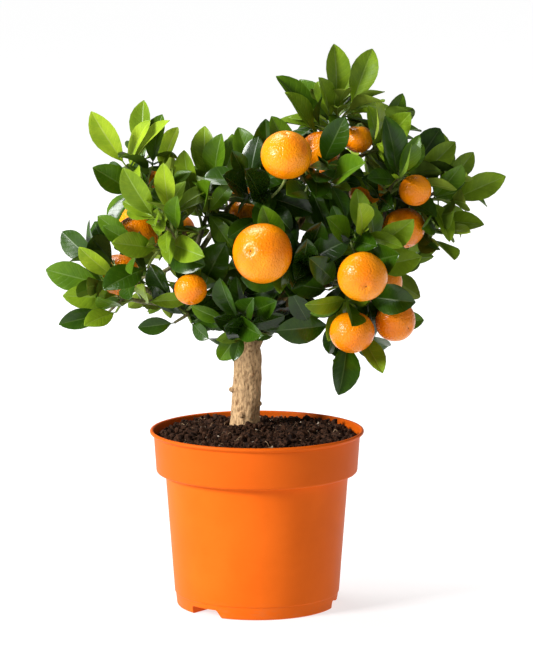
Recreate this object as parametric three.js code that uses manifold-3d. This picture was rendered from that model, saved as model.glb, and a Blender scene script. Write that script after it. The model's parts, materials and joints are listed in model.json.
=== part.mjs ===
// Calamondin bonsai: a small citrus tree with ripe fruit, growing in a round moulded pot.
// Millimetres, +Z up. The pot's flat underside stands on z = 0, centred on the Z axis,
// and the front of the plant faces -Y.
//
// The crown is a set of masses of foliage. Each mass is one solid: a stem that meets the tip
// of its bough, shoots that branch from the stem, the leaves set round each shoot by the
// golden angle, and the fruit that the shoots carry.

import * as THREE from 'three';
import { mergeVertices } from 'three/addons/utils/BufferGeometryUtils.js';
import Module from 'manifold-3d';

const wasm = await Module();
wasm.setup();

// Pot: moulded plastic, a tapered body under a deep band with a rolled lip
const LIP_RADIUS = 75;
const LIP_ROLL = 1.3;
const LIP_CENTRE_Z = 123;
const BAND_TOP_RADIUS = 72.3;
const BAND_TOP_Z = 120.6;
const BAND_BOTTOM_RADIUS = 70.5;
const BAND_BOTTOM_Z = 94.5;
const BODY_TOP_RADIUS = 64.2;
const BODY_STEP_RADIUS = 57.9;
const FOOT_STEP_Z = 9.4;
const FOOT_RADIUS = 56.3;
const WALL = 1.3;
const FLOOR = 2;
const POT_SEGMENTS = 32;

// Drainage: three arched notches in the foot, each at the end of a walled channel
const NOTCH_COUNT = 3;
const NOTCH_FIRST_ANGLE = -39;
const NOTCH_WIDTH = 25.6;
const NOTCH_HEIGHT = 5.6;
const CHANNEL_START = 36;
const CHANNEL_WALL = 1.5;
const DRAIN_RADIUS = 4;
const DRAIN_DISTANCE = 46;

// Soil: a mound of potting mix that rises from the pot's wall to the foot of the trunk
const SOIL_SEGMENTS = 24;
const SOIL_EDGE_Z = 119.8;
const SOIL_RISE = 4;
const SOIL_BUMP = 1.3;
const CLEAR = 0.3;

// Trunk: points of its centre line, and its radius at each height above the soil's cut
const TRUNK_LINE = [[-8.4, 23, 119.3], [-7.6, 23, 143], [-6.4, 22.4, 166], [-5.6, 22, 184]];
const TRUNK_SEGMENTS = 12;
const TRUNK_RADII = [[0, 12], [0.05, 10.9], [0.14, 10.2], [0.8, 9.8], [0.9, 8.6], [1, 5.8]];
const KNUCKLE = 1.3;

const BOUGH_SEGMENTS = 6;
const BOUGH_STEPS = 4;

// Boughs: where each starts and ends, the point it bends past, and its radius at both ends.
// A bough that starts at another one names it, and starts at that one's tip.
const BOUGHS = [
  { name: 'bough_centre', start: [-5.4, 22, 180], bend: [0, 19, 222],
    end: [26, 6, 262], radii: [3.7, 2.6] },
  { name: 'bough_left', start: [-7, 21, 176], bend: [-20, 10, 222],
    end: [-44, -6, 246], radii: [3.4, 2.4] },
  { name: 'bough_left_low', start: [-8, 20, 172], bend: [-22, 12, 206],
    end: [-60, -2, 213], radii: [3.2, 2.2] },
  { name: 'bough_right', start: [-3, 21, 176], bend: [12, 14, 216], end: [54, -6, 229], radii: [3.2, 2.4] },
  { name: 'bough_front', start: [-5, 18, 174], bend: [-4, -2, 206], end: [4, -24, 219], radii: [2.9, 2.1] },
  { name: 'bough_back_left', start: [-8, 24, 175], bend: [-20, 44, 214],
    end: [-42, 58, 240], radii: [3.1, 2.2] },
  { name: 'bough_back_right', start: [-2, 24, 175], bend: [14, 44, 212],
    end: [46, 62, 240], radii: [3.1, 2.2] },
  { name: 'bough_left_up', from: 'bough_left', bend: [-50, 4, 262], end: [-60, 4, 277], radii: [2.1, 1.8] },
  { name: 'bough_top', from: 'bough_centre', bend: [38, 5, 282], end: [50, 4, 304], radii: [2.3, 1.9] },
  { name: 'bough_right_up', from: 'bough_right', bend: [72, -2, 240],
    end: [84, 2, 260], radii: [2.2, 1.8] },
];

// Masses of foliage: the bough each grows on, its heart where the stem ends, the seed of its
// branching, the usual length of its leaves, and the furthest tips that its shoots reach.
// A mass with no tips of its own spreads its shoots evenly over the side that faces outward.
const MASSES = [
  { name: 'mass_top', bough: 'bough_top', heart: [56, 2, 334], seed: 11, leaf: 44,
    tips: [[53, 0, 394], [80, 8, 390], [42, -28, 373], [13, -6, 372], [19, -22, 362]] },
  { name: 'mass_top_right', bough: 'bough_top', heart: [83, 2, 322], seed: 12, leaf: 42,
    tips: [[101, 8, 359], [81, -42, 357], [105, -40, 350], [65, 30, 347]] },
  { name: 'mass_crown_mid', bough: 'bough_top', heart: [33, -34, 302], seed: 13, leaf: 42,
    tips: [[10, -34, 347], [60, -48, 348], [73, -82, 320], [20, -78, 298]] },
  { name: 'mass_crown_left', bough: 'bough_centre', heart: [-2, -30, 299], seed: 14, leaf: 40,
    tips: [[-17, -48, 325], [-23, -60, 309], [-13, -8, 337], [6, -30, 345], [-8, -72, 315]] },
  { name: 'mass_left_top', bough: 'bough_left_up', heart: [-75, -12, 296], seed: 15, leaf: 44,
    tips: [[-113, -30, 350], [-78, 0, 355], [-65, -8, 346], [-55, 14, 335], [-112, -35, 312]] },
  { name: 'mass_left_shoulder', bough: 'bough_left', heart: [-58, -44, 268], seed: 16, leaf: 42,
    tips: [[-90, -64, 315], [-63, -52, 317], [-53, -74, 297], [-98, -66, 264]] },
  { name: 'mass_mid_left', bough: 'bough_left', heart: [-33, -2, 281], seed: 17, leaf: 44,
    tips: [[-24, -10, 333], [-36, 2, 337], [-31, -58, 305], [-12, 14, 330], [-50, -14, 322]] },
  { name: 'mass_left_mid', bough: 'bough_left', heart: [-73, -36, 258], seed: 18, leaf: 42,
    tips: [[-109, -30, 278], [-105, -45, 273], [-104, -66, 232]] },
  { name: 'mass_far_left', bough: 'bough_left_low', heart: [-98, -26, 240], seed: 19, leaf: 42,
    tips: [[-135, -5, 264], [-113, 5, 270], [-146, -15, 239], [-121, -48, 259], [-134, -25, 222]] },
  { name: 'mass_far_left_low', bough: 'bough_left_low', heart: [-92, -24, 219], seed: 20, leaf: 46,
    tips: [[-136, -38, 204], [-118, -50, 205], [-108, -58, 226]] },
  { name: 'mass_lower_left', bough: 'bough_left_low', heart: [-48, -22, 209], seed: 21, leaf: 40,
    tips: [[-82, -32, 201], [-74, -8, 242], [-33, -38, 194], [-21, -38, 261]] },
  { name: 'mass_lower_front', bough: 'bough_front', heart: [-8, -32, 208], seed: 22, leaf: 42,
    tips: [[-26, -18, 176], [-16, -42, 179], [1, -50, 195], [-28, -48, 210]] },
  { name: 'mass_centre_front', bough: 'bough_front', heart: [29, -48, 246], seed: 23, leaf: 42,
    tips: [[34, -90, 270], [44, -70, 279], [4, -62, 289], [22, -72, 228]] },
  { name: 'mass_right_top', bough: 'bough_right_up', heart: [93, -26, 300], seed: 24, leaf: 46,
    tips: [[104, -76, 332], [127, 4, 335], [137, -8, 327], [71, -50, 306]] },
  { name: 'mass_right_outer', bough: 'bough_right_up', heart: [122, 0, 290], seed: 25, leaf: 46,
    tips: [[150, 0, 319], [172, -8, 303], [140, -34, 314], [157, -14, 270]] },
  { name: 'mass_right_low_outer', bough: 'bough_right_up', heart: [116, 4, 270], seed: 26, leaf: 44,
    tips: [[147, -26, 266], [135, -42, 249], [112, 14, 246]] },
  { name: 'mass_right_mid', bough: 'bough_right', heart: [72, -42, 264], seed: 27, leaf: 42,
    tips: [[68, -92, 294], [47, -80, 283], [106, -72, 281], [96, -88, 259], [112, -62, 254]] },
  { name: 'mass_right_front', bough: 'bough_right', heart: [62, -38, 233], seed: 28, leaf: 42,
    tips: [[35, -82, 256], [19, -66, 237], [108, -64, 223], [64, -86, 210]] },
  { name: 'mass_lower_right', bough: 'bough_right', heart: [66, -22, 211], seed: 29, leaf: 44,
    tips: [[13, -46, 201], [56, -46, 156], [86, -56, 173], [116, -12, 203]] },
  { name: 'mass_back_left', bough: 'bough_back_left', heart: [-66, 62, 262], seed: 30, leaf: 42,
    spread: 5 },
  { name: 'mass_back_low_left', bough: 'bough_back_left', heart: [-72, 52, 226], seed: 31, leaf: 42,
    spread: 5 },
  { name: 'mass_back_top', bough: 'bough_back_left', heart: [-12, 66, 286], seed: 32, leaf: 42,
    spread: 5 },
  { name: 'mass_back_low', bough: 'bough_back_right', heart: [10, 82, 224], seed: 33, leaf: 42,
    spread: 5 },
  { name: 'mass_back_right', bough: 'bough_back_right', heart: [74, 66, 282], seed: 34, leaf: 42,
    spread: 5 },
  { name: 'mass_back_low_right', bough: 'bough_back_right', heart: [92, 52, 240], seed: 35, leaf: 42,
    spread: 5 },
];

// Fruit: the mass that carries it, its centre, its diameter, and the way its blossom end faces.
// On a fruit that shows from the front, sunny is the share of its face that no side leaf covers.
const FRUIT = [
  { mass: 'mass_crown_left', at: [20, -70, 324], size: 34, faces: [0, -0.35, 1], sunny: 0.9 },
  { mass: 'mass_centre_front', at: [4, -82, 259], size: 40, faces: [-0.45, -0.9, 0.2], sunny: 0.85 },
  { mass: 'mass_lower_left', at: [-45, -50, 230], size: 22, faces: [0, -0.6, -1], sunny: 0.95 },
  { mass: 'mass_left_mid', at: [-83, -12, 262], size: 29, faces: [-0.2, -0.5, -1], sunny: 0.6 },
  { mass: 'mass_far_left', at: [-97, 2, 232], size: 31, faces: [0.2, -0.8, -0.8], sunny: 0.55 },
  { mass: 'mass_left_top', at: [-67, 14, 297], size: 20, faces: [0, 0, -1], sunny: 0.5 },
  { mass: 'mass_mid_left', at: [-8, 14, 274], size: 22, faces: [0, 0.2, -1], sunny: 0.4 },
  { mass: 'mass_crown_mid', at: [44, -16, 322], size: 27, faces: [0.2, -0.5, -1], sunny: 0.4 },
  { mass: 'mass_top_right', at: [70, -10, 329], size: 20, faces: [0, 0, -1], sunny: 0.5 },
  { mass: 'mass_right_top', at: [76, -4, 291], size: 24, faces: [0, -0.4, -1], sunny: 0.4 },
  { mass: 'mass_right_outer', at: [108, -42, 297], size: 22, faces: [0.3, -0.6, -1], sunny: 0.95 },
  { mass: 'mass_right_low_outer', at: [101, -24, 269], size: 29, faces: [0.2, -0.4, -1], sunny: 0.7 },
  { mass: 'mass_right_mid', at: [71, -88, 244], size: 33, faces: [0.15, -1, -0.35], sunny: 0.95 },
  { mass: 'mass_right_front', at: [85, -26, 231], size: 30, faces: [0.3, -0.3, -1], sunny: 0.8 },
  { mass: 'mass_lower_right', at: [65, -58, 202], size: 30, faces: [0, -0.3, -1], sunny: 0.85 },
  { mass: 'mass_lower_right', at: [95, -42, 207], size: 28, faces: [0.7, -0.7, -0.3], sunny: 0.85 },
  { mass: 'mass_back_left', at: [-86, 84, 257], size: 30, faces: [-0.3, 0.5, -1] },
  { mass: 'mass_back_left', at: [-58, 98, 252], size: 26, faces: [0, 0.6, -1] },
  { mass: 'mass_back_top', at: [-4, 96, 276], size: 33, faces: [0, 0.7, -0.8] },
  { mass: 'mass_back_top', at: [14, 70, 310], size: 24, faces: [0.3, 0.4, 1] },
  { mass: 'mass_back_low', at: [14, 108, 214], size: 31, faces: [0.2, 0.4, -1] },
  { mass: 'mass_back_right', at: [86, 92, 268], size: 32, faces: [0.3, 0.6, -1] },
  { mass: 'mass_back_right', at: [56, 92, 290], size: 26, faces: [0, 0.8, -0.6] },
  { mass: 'mass_back_low_right', at: [92, 76, 222], size: 28, faces: [0.3, 0.5, -1] },
];

// Branching rule
const STEM_RADII = [[0, 1.9], [1, 0.9]];
const SHOOT_RADII = [[0, 0.4], [0.3, 1.1], [1, 0.8]];
const STALK_RADIUS = 0.9;
const TIP_LEAF_SHARE = 0.72;
const TIP_LEAF_LONGEST = 46;
const FILL_SHOOTS = 2;
const FILL_OPENING = [50, 90];
const FILL_REACH = [34, 52];
const SPREAD_REACH = 52;
const SHORTEST_REACH = 34;
const SPACE_MARGIN = 6;
const GOLDEN_ANGLE = 137.5;

// Shares of a stem's length where shoots branch from it, in the order in which they are used
const STEM_JOINTS = [0.66, 0.56, 0.5, 0.36, 0.3];

// Stretches of a stem and of a shoot that each bear one leaf, as shares of the length
const STEM_SLOTS = [[0.3, 0.36], [0.5, 0.56], [0.74, 0.8], [0.8, 0.86], [0.86, 0.93]];
const SHOOT_SLOTS = [[0.34, 0.48], [0.48, 0.62], [0.62, 0.76], [0.76, 0.9]];

// Leaf: its width and thickness, and how close one leaf comes to another leaf or a fruit
const LEAF_WIDTH = 0.42;
const LEAF_THICKNESS = 0.8;
const LEAF_ROOT = 0.6;
const LEAF_FOLD = 16;
const LEAF_SWAY = [-24, 24];
const LEAF_ARCH = [14, 40];
const LEAF_LENGTHS = [0.76, 1.06];
const LEAF_WIDTHS = [0.9, 1.15];
const LEAF_LEAN = [0.35, 0.85];
const LEAF_TURN = [0.6, 1.1];
const LEAF_OPENING = [74, 88];
const OPENING_FALL = 34;
const OPENING_RETRY = 5;
const END_ARCH = [10, 24];
const END_WIDTHS = [1, 1.2];
const FACING = 0.7;
const FRONT_FACING_Y = 35;
const LEAF_SPACING = 3.4;
const LEAF_TRIES = 6;
const FRUIT_SPACING = 1.2;
const SHOOT_TO_FRUIT = 8;
const LIMB_SPACING = 1.2;

// Outline of the crown in front view, as [x, z] at y = 0: its upper edge and its underside
const UPPER_EDGE = [
  [-150, 248], [-124, 268], [-110, 284], [-107, 350], [-76, 358], [-54, 340], [4, 342], [12, 374],
  [42, 376], [52, 397], [80, 392], [88, 364], [106, 354], [126, 338], [150, 322], [160, 306], [174, 305],
];
const UNDERSIDE = [
  [-150, 236], [-138, 226], [-134, 196], [-106, 202], [-86, 210], [-80, 203], [-66, 205], [-50, 206],
  [-38, 186], [-16, 174], [6, 187],
  [30, 200], [44, 188], [56, 156], [70, 180], [88, 166], [106, 192], [116, 200], [118, 244],
  [150, 260], [174, 298],
];

// Gaps of the crown that stay open from front to back: x, z and radius at y = 0
const GAPS = [
  [-40, 274, 5], [-74, 236, 9], [-62, 228, 6], [-7, 293, 4], [-61, 311, 3], [64, 343, 3],
  [71, 311, 4], [36, 259, 6], [124, 285, 4], [45, 222, 4], [-35, 259, 4], [112, 238, 9],
];
const VIEW_SLOPE = 0.154;

const UP = new THREE.Vector3(0, 0, 1);
const CROWN_CENTRE = new THREE.Vector3(8, 0, 262);

function vector(list) {
  return new THREE.Vector3(list[0], list[1], list[2]);
}

function radians(degrees) {
  return THREE.MathUtils.degToRad(degrees);
}

// Repeatable random numbers from 0 to 1, the same for the same seed
function seeded(seed) {
  let state = seed * 7919;
  return () => {
    state = (state * 48271) % 2147483647;
    return state / 2147483647;
  };
}

// A random value within a range
function within(range, random) {
  return THREE.MathUtils.lerp(range[0], range[1], random());
}

// Solids

// A closed geometry becomes a solid once its doubled vertices are merged
function toSolid(geometry) {
  const plain = geometry.clone();
  plain.deleteAttribute('normal');
  plain.deleteAttribute('uv');
  const merged = mergeVertices(plain, 1e-4);
  const index = merged.index.array;
  const triangles = [];
  for (let i = 0; i < index.length; i += 3) {
    const [a, b, c] = [index[i], index[i + 1], index[i + 2]];
    if (a !== b && b !== c && c !== a) {
      triangles.push(a, b, c);
    }
  }
  return new wasm.Manifold(new wasm.Mesh({
    numProp: 3,
    vertProperties: new Float32Array(merged.attributes.position.array),
    triVerts: new Uint32Array(triangles),
  }));
}

function toGeometry(solid) {
  const mesh = solid.getMesh();
  const geometry = new THREE.BufferGeometry();
  geometry.setAttribute('position', new THREE.BufferAttribute(mesh.vertProperties, 3));
  geometry.setIndex(new THREE.BufferAttribute(mesh.triVerts, 1));
  geometry.computeVertexNormals();
  return geometry;
}

// The largest body of a join, without loose scraps or sealed hollows
function wholeBody(solid) {
  const bodies = solid.decompose();
  let largest = bodies[0];
  for (const body of bodies) {
    if (body.volume() > largest.volume()) {
      largest = body;
    }
  }
  return largest;
}

function joined(solids) {
  return solids.reduce((whole, solid) => whole.add(solid));
}

// A value read between the stops of a list of [place, value]
function between(stops, place) {
  let previous = stops[0];
  for (const stop of stops) {
    if (place <= stop[0]) {
      const span = Math.max(stop[0] - previous[0], 1e-6);
      return THREE.MathUtils.lerp(previous[1], stop[1], (place - previous[0]) / span);
    }
    previous = stop;
  }
  return previous[1];
}

// Radius at a share of a limb's length, from a list of [share, radius]
function radiusAlong(stops) {
  return (share) => between(stops, share);
}

// A cylinder bent along a curve, tapering by a function of the share of its length
function limbSolid(curve, radiusAt, sides, steps, extra = 0) {
  const frames = curve.computeFrenetFrames(steps, false);
  const geometry = new THREE.CylinderGeometry(1, 1, 1, sides, steps);
  const position = geometry.attributes.position;
  const point = new THREE.Vector3();
  for (let i = 0; i < position.count; i++) {
    const step = Math.round((position.getY(i) + 0.5) * steps);
    const share = step / steps;
    const radius = radiusAt(share) + extra;
    point.copy(curve.getPointAt(share));
    point.addScaledVector(frames.normals[step], position.getX(i) * radius);
    point.addScaledVector(frames.binormals[step], -position.getZ(i) * radius);
    if (step === 0) {
      point.addScaledVector(frames.tangents[0], -extra);
    }
    if (step === steps) {
      point.addScaledVector(frames.tangents[steps], extra);
    }
    position.setXYZ(i, point.x, point.y, point.z);
  }
  return toSolid(geometry);
}

function ballSolid(centre, radius, detail) {
  return toSolid(new THREE.IcosahedronGeometry(radius, detail).translate(centre.x, centre.y, centre.z));
}

function latheSolid(profile, segments) {
  const points = profile.map(([radius, z]) => new THREE.Vector2(radius, z));
  return toSolid(new THREE.LatheGeometry(points, segments).rotateX(Math.PI / 2));
}

// Pot and soil

function lipArc() {
  const points = [];
  for (const angle of [-45, 30, 105, 180]) {
    points.push([
      LIP_RADIUS - LIP_ROLL + LIP_ROLL * Math.cos(radians(angle)),
      LIP_CENTRE_Z + LIP_ROLL * Math.sin(radians(angle)),
    ]);
  }
  return points;
}

function potOutside() {
  return [
    [0, 0], [FOOT_RADIUS - 1, 0], [FOOT_RADIUS, 1], [BODY_STEP_RADIUS - 0.6, FOOT_STEP_Z - 0.4],
    [BODY_STEP_RADIUS, FOOT_STEP_Z], [BODY_TOP_RADIUS, BAND_BOTTOM_Z - 0.7],
    [BAND_BOTTOM_RADIUS - 1, BAND_BOTTOM_Z - 0.3], [BAND_BOTTOM_RADIUS, BAND_BOTTOM_Z + 1],
    [BAND_TOP_RADIUS, BAND_TOP_Z],
  ];
}

function potInside() {
  return [
    [BAND_BOTTOM_RADIUS - WALL, BAND_BOTTOM_Z + 1.2], [BODY_TOP_RADIUS - WALL, BAND_BOTTOM_Z + 0.8],
    [FOOT_RADIUS - WALL, FLOOR], [0, FLOOR],
  ];
}

// The arch of a drainage notch, upright on one side and slanted on the other
function notchShape(margin) {
  const half = NOTCH_WIDTH / 2 + margin;
  const top = NOTCH_HEIGHT + margin;
  const bottom = margin > 0 ? 0 : -1;
  const shape = new THREE.Shape();
  shape.moveTo(-half, bottom);
  shape.lineTo(half + 1, bottom);
  shape.lineTo(half - 3.4, top);
  shape.lineTo(-half + 1.4, top);
  shape.lineTo(-half, top - 1.6);
  shape.closePath();
  return shape;
}

// A notch's outline drawn out from near the middle of the floor, turned to its place
function notchSolid(index, margin, start, end) {
  const drawn = { depth: end - start, bevelEnabled: false };
  const geometry = new THREE.ExtrudeGeometry(notchShape(margin), drawn);
  geometry.rotateX(Math.PI / 2);
  geometry.translate(0, -start, 0);
  geometry.rotateZ(radians(NOTCH_FIRST_ANGLE + (index * 360) / NOTCH_COUNT));
  return toSolid(geometry);
}

function drainSolid(index) {
  const geometry = new THREE.CylinderGeometry(DRAIN_RADIUS, DRAIN_RADIUS, 4 * CHANNEL_WALL, 16);
  geometry.rotateX(Math.PI / 2);
  geometry.translate(0, -DRAIN_DISTANCE, NOTCH_HEIGHT + CHANNEL_WALL);
  geometry.rotateZ(radians(NOTCH_FIRST_ANGLE + (index * 360) / NOTCH_COUNT));
  return toSolid(geometry);
}

function potSolid() {
  const outline = [...potOutside(), ...lipArc(), ...potInside()];
  const outside = latheSolid([...potOutside(), [0, BAND_TOP_Z]], POT_SEGMENTS);
  let pot = latheSolid(outline, POT_SEGMENTS);
  for (let i = 0; i < NOTCH_COUNT; i++) {
    const block = notchSolid(i, CHANNEL_WALL, CHANNEL_START - CHANNEL_WALL, LIP_RADIUS);
    pot = pot.add(block.intersect(outside));
  }
  for (let i = 0; i < NOTCH_COUNT; i++) {
    pot = pot.subtract(notchSolid(i, 0, CHANNEL_START, LIP_RADIUS)).subtract(drainSolid(i));
  }
  return pot;
}

// Height of the soil's top: a mound with small bumps, highest at the trunk
function soilHeight(x, y) {
  const edge = Math.hypot(x, y) / BAND_BOTTOM_RADIUS;
  const trunk = Math.hypot(x - TRUNK_LINE[0][0], y - TRUNK_LINE[0][1]);
  const mound = SOIL_RISE * (1 - edge * edge) * Math.exp(-trunk / 90);
  const bump = SOIL_BUMP * Math.sin(x * 0.31 + 1) * Math.cos(y * 0.27 - 0.5) * (1 - edge ** 4);
  return SOIL_EDGE_Z + mound + bump;
}

function soilSolid(trunk) {
  const profile = [[0, FLOOR + CLEAR]];
  for (const [radius, z] of potInside().slice(0, -1).reverse()) {
    profile.push([radius - CLEAR, Math.min(z + CLEAR, SOIL_EDGE_Z - 1)]);
  }
  profile[profile.length - 1] = [BAND_TOP_RADIUS - WALL - CLEAR - 0.2, SOIL_EDGE_Z];
  for (const radius of [60, 48, 36, 24, 12, 0]) {
    profile.push([radius, SOIL_EDGE_Z + 1]);
  }
  const points = profile.map(([radius, z]) => new THREE.Vector2(radius, z));
  const geometry = new THREE.LatheGeometry(points, SOIL_SEGMENTS).rotateX(Math.PI / 2);
  const position = geometry.attributes.position;
  for (let i = 0; i < position.count; i++) {
    if (position.getZ(i) > SOIL_EDGE_Z + 0.5) {
      position.setZ(i, soilHeight(position.getX(i), position.getY(i)));
    }
  }
  let soil = toSolid(geometry).subtract(trunk);
  for (let i = 0; i < NOTCH_COUNT; i++) {
    const start = CHANNEL_START - CHANNEL_WALL - CLEAR;
    soil = soil.subtract(notchSolid(i, CHANNEL_WALL + CLEAR, start, LIP_RADIUS));
  }
  return soil;
}

// Trunk and boughs

const trunkCurve = new THREE.CatmullRomCurve3(TRUNK_LINE.map(vector));

function trunkSolid(extra) {
  const top = vector(TRUNK_LINE[TRUNK_LINE.length - 1]);
  const last = TRUNK_RADII[TRUNK_RADII.length - 1][1];
  const shaft = limbSolid(trunkCurve, radiusAlong(TRUNK_RADII), TRUNK_SEGMENTS, 10, extra);
  return shaft.add(ballSolid(top, last + extra, 1));
}

// Every limb keeps its curve, radii and tip, so that the masses can grow on from it
function boughLimb(row, limbs) {
  const parent = limbs.find((limb) => limb.name === row.from);
  const bend = vector(row.bend);
  const end = vector(row.end);
  let start = row.start && vector(row.start);
  if (parent) {
    const reach = parent.knuckle + CLEAR;
    start = parent.tip.clone().addScaledVector(bend.clone().sub(parent.tip).normalize(), reach);
  }
  const curve = new THREE.QuadraticBezierCurve3(start, bend, end);
  const radiusAt = radiusAlong([[0, row.radii[0]], [1, row.radii[1]]]);
  return { name: row.name, curve, radiusAt, tip: end, knuckle: row.radii[1] * KNUCKLE };
}

function boughSolid(limb, extra) {
  const shaft = limbSolid(limb.curve, limb.radiusAt, BOUGH_SEGMENTS, BOUGH_STEPS, extra);
  return shaft.add(ballSolid(limb.tip, limb.knuckle + extra, 0));
}

// Points that are taken: each has a place, a radius and an owner, and lies in a cell of a grid
// that is coarser than any of their reaches
const CELL = 28;
const cells = new Map();

function cellKey(x, y, z) {
  return `${x},${y},${z}`;
}

function take(place, radius, owner) {
  const key = cellKey(...place.toArray().map((value) => Math.floor(value / CELL)));
  if (!cells.has(key)) {
    cells.set(key, []);
  }
  cells.get(key).push({ place: place.clone(), radius, owner });
}

function takenNear(point) {
  const [x, y, z] = point.toArray().map((value) => Math.floor(value / CELL));
  const near = [];
  for (let i = 0; i < 27; i++) {
    const key = cellKey(x + (i % 3) - 1, y + (Math.floor(i / 3) % 3) - 1, z + Math.floor(i / 9) - 1);
    near.push(...(cells.get(key) ?? []));
  }
  return near;
}

// Whether any of the points comes nearer than its gap to what another owner holds
function isBlocked(points, gapTo, owner) {
  return points.some((point) => takenNear(point).some((other) => {
    const gap = gapTo(other, owner);
    return gap !== null && point.distanceTo(other.place) < other.radius + gap;
  }));
}

function takeCurve(curve, radiusAt, owner, spacing) {
  const count = Math.max(2, Math.ceil(curve.getLength() / spacing));
  for (let i = 0; i <= count; i++) {
    take(curve.getPointAt(i / count), radiusAt(i / count), owner);
  }
}

// Whether a point lies in one of the crown's open gaps, or outside its outline
function inSky(point) {
  const z = point.z + VIEW_SLOPE * point.y;
  const above = z > between(UPPER_EDGE, point.x);
  const below = z < between(UNDERSIDE, point.x);
  return above || below || GAPS.some(([x, level, radius]) => Math.hypot(point.x - x, z - level) < radius);
}

// Whether any of the points lies before the sunny face of a fruit, in front view
function shadesFruit(points) {
  return FRUIT.some(({ at: [x, y, z], size, sunny }) => sunny && points.some((point) => {
    const above = point.z - z + VIEW_SLOPE * (point.y - y);
    return point.y < y && Math.hypot(point.x - x, above) < (sunny * size) / 2;
  }));
}

// Shoots

// A unit vector turned away from the axis by an opening angle, at an angle round the axis
function turned(axis, around, opening) {
  const aside = Math.abs(axis.z) < 0.9 ? UP : new THREE.Vector3(1, 0, 0);
  const side = new THREE.Vector3().crossVectors(axis, aside).normalize();
  const other = new THREE.Vector3().crossVectors(axis, side);
  const ray = side.multiplyScalar(Math.cos(around)).addScaledVector(other, Math.sin(around));
  return axis.clone().multiplyScalar(Math.cos(opening)).addScaledVector(ray, Math.sin(opening));
}

// The stem of a mass: from 0.3 mm off its bough's knuckle through its heart, and on to one
// leaf short of its first tip
function growStem(mass, limb) {
  const out = mass.heart.clone().sub(limb.tip).normalize();
  const start = limb.tip.clone().addScaledVector(out, limb.knuckle + CLEAR);
  const { end, leaf } = reachFor(mass.heart, mass.tips[0]);
  const middle = start.clone().lerp(mass.heart, 0.55);
  const curve = new THREE.CatmullRomCurve3([start, middle, mass.heart, end]);
  return { curve, leaf, reach: mass.tips[0], radii: STEM_RADII, slots: STEM_SLOTS, joints: [] };
}

// Where a shoot that starts at a point ends, and the length of the leaf that takes it to its tip
function reachFor(start, tip) {
  const leaf = Math.min(TIP_LEAF_SHARE * tip.distanceTo(start), TIP_LEAF_LONGEST);
  const heading = tip.clone().sub(start).normalize().multiplyScalar(0.85).addScaledVector(UP, 0.12);
  return { end: tip.clone().addScaledVector(heading.normalize(), -leaf), leaf };
}

// A shoot from a share of the stem to one leaf short of the point that it reaches
function growShoot(mass, share, reach) {
  const start = mass.stem.curve.getPointAt(share);
  const { end, leaf } = reachFor(start, reach);
  const bend = start.clone();
  bend.addScaledVector(mass.stem.curve.getTangentAt(share), end.distanceTo(start) * 0.35);
  bend.lerp(start.clone().add(end).multiplyScalar(0.5), 0.5);
  const curve = new THREE.QuadraticBezierCurve3(start, bend, end);
  return { curve, share, leaf, reach, radii: SHOOT_RADII, slots: SHOOT_SLOTS, joints: [] };
}

// Points spread evenly over the outward side of a mass, each drawn in to the crown's outline
function spreadTips(mass) {
  const outward = mass.heart.clone().sub(CROWN_CENTRE).normalize();
  const tips = [];
  for (let i = 0; tips.length < mass.spread; i++) {
    const opening = Math.acos(1 - (1.15 * ((i % mass.spread) + 0.5)) / mass.spread);
    const along = turned(outward, radians(i * GOLDEN_ANGLE + mass.seed * 20), opening);
    let reach = SPREAD_REACH * (0.88 + 0.12 * Math.cos(i * 2));
    while (reach > SHORTEST_REACH && inSky(mass.heart.clone().addScaledVector(along, reach + 3))) {
      reach -= 2;
    }
    const tip = mass.heart.clone().addScaledVector(along, reach);
    if (clearOfFruit(mass.heart, tip)) {
      tips.push(tip);
    }
  }
  return tips;
}

// Whether a straight line keeps clear of every fruit
function clearOfFruit(start, end) {
  const line = new THREE.Line3(start, end);
  const nearest = new THREE.Vector3();
  return FRUIT.every((fruit) => {
    line.closestPointToPoint(vector(fruit.at), true, nearest);
    return nearest.distanceTo(vector(fruit.at)) > fruit.size / 2 + SHOOT_TO_FRUIT;
  });
}

// The shoots of a mass that reach its tips: the stem's own end, then its side shoots
function tipShoots(mass) {
  const shares = mass.tips.slice(1).map((tip, i) => STEM_JOINTS[i % STEM_JOINTS.length]);
  mass.stem.joints.push(...shares);
  return [mass.stem, ...shares.map((share, i) => growShoot(mass, share, mass.tips[i + 1]))];
}

// A shoot that fills a mass, or null where it or its end leaf has no room
function fillShoot(mass, random) {
  const share = STEM_JOINTS[Math.floor(STEM_JOINTS.length * random())];
  const around = radians(360 * random());
  const opening = radians(within(FILL_OPENING, random));
  const length = within(FILL_REACH, random);
  const start = mass.stem.curve.getPointAt(share);
  const along = turned(mass.stem.curve.getTangentAt(share), around, opening);
  const shoot = growShoot(mass, share, start.addScaledVector(along, length));
  shoot.endLeaf = growEndLeaf(shoot, random);
  const points = [...shoot.curve.getSpacedPoints(6).slice(2), ...leafChecks(shoot.endLeaf)];
  const blocked = points.some(inSky) || isBlocked(points, leafGap, mass.name);
  return blocked ? null : shoot;
}

// A shoot and its end leaf take their room, so that what grows later keeps clear of them
function takeShoot(mass, shoot) {
  takeCurve(shoot.curve, radiusAlong(shoot.radii), mass.name, 3);
  leafChecks(shoot.endLeaf).forEach((point) => take(point, 0, 'leaf'));
}

// Leaves

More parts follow.
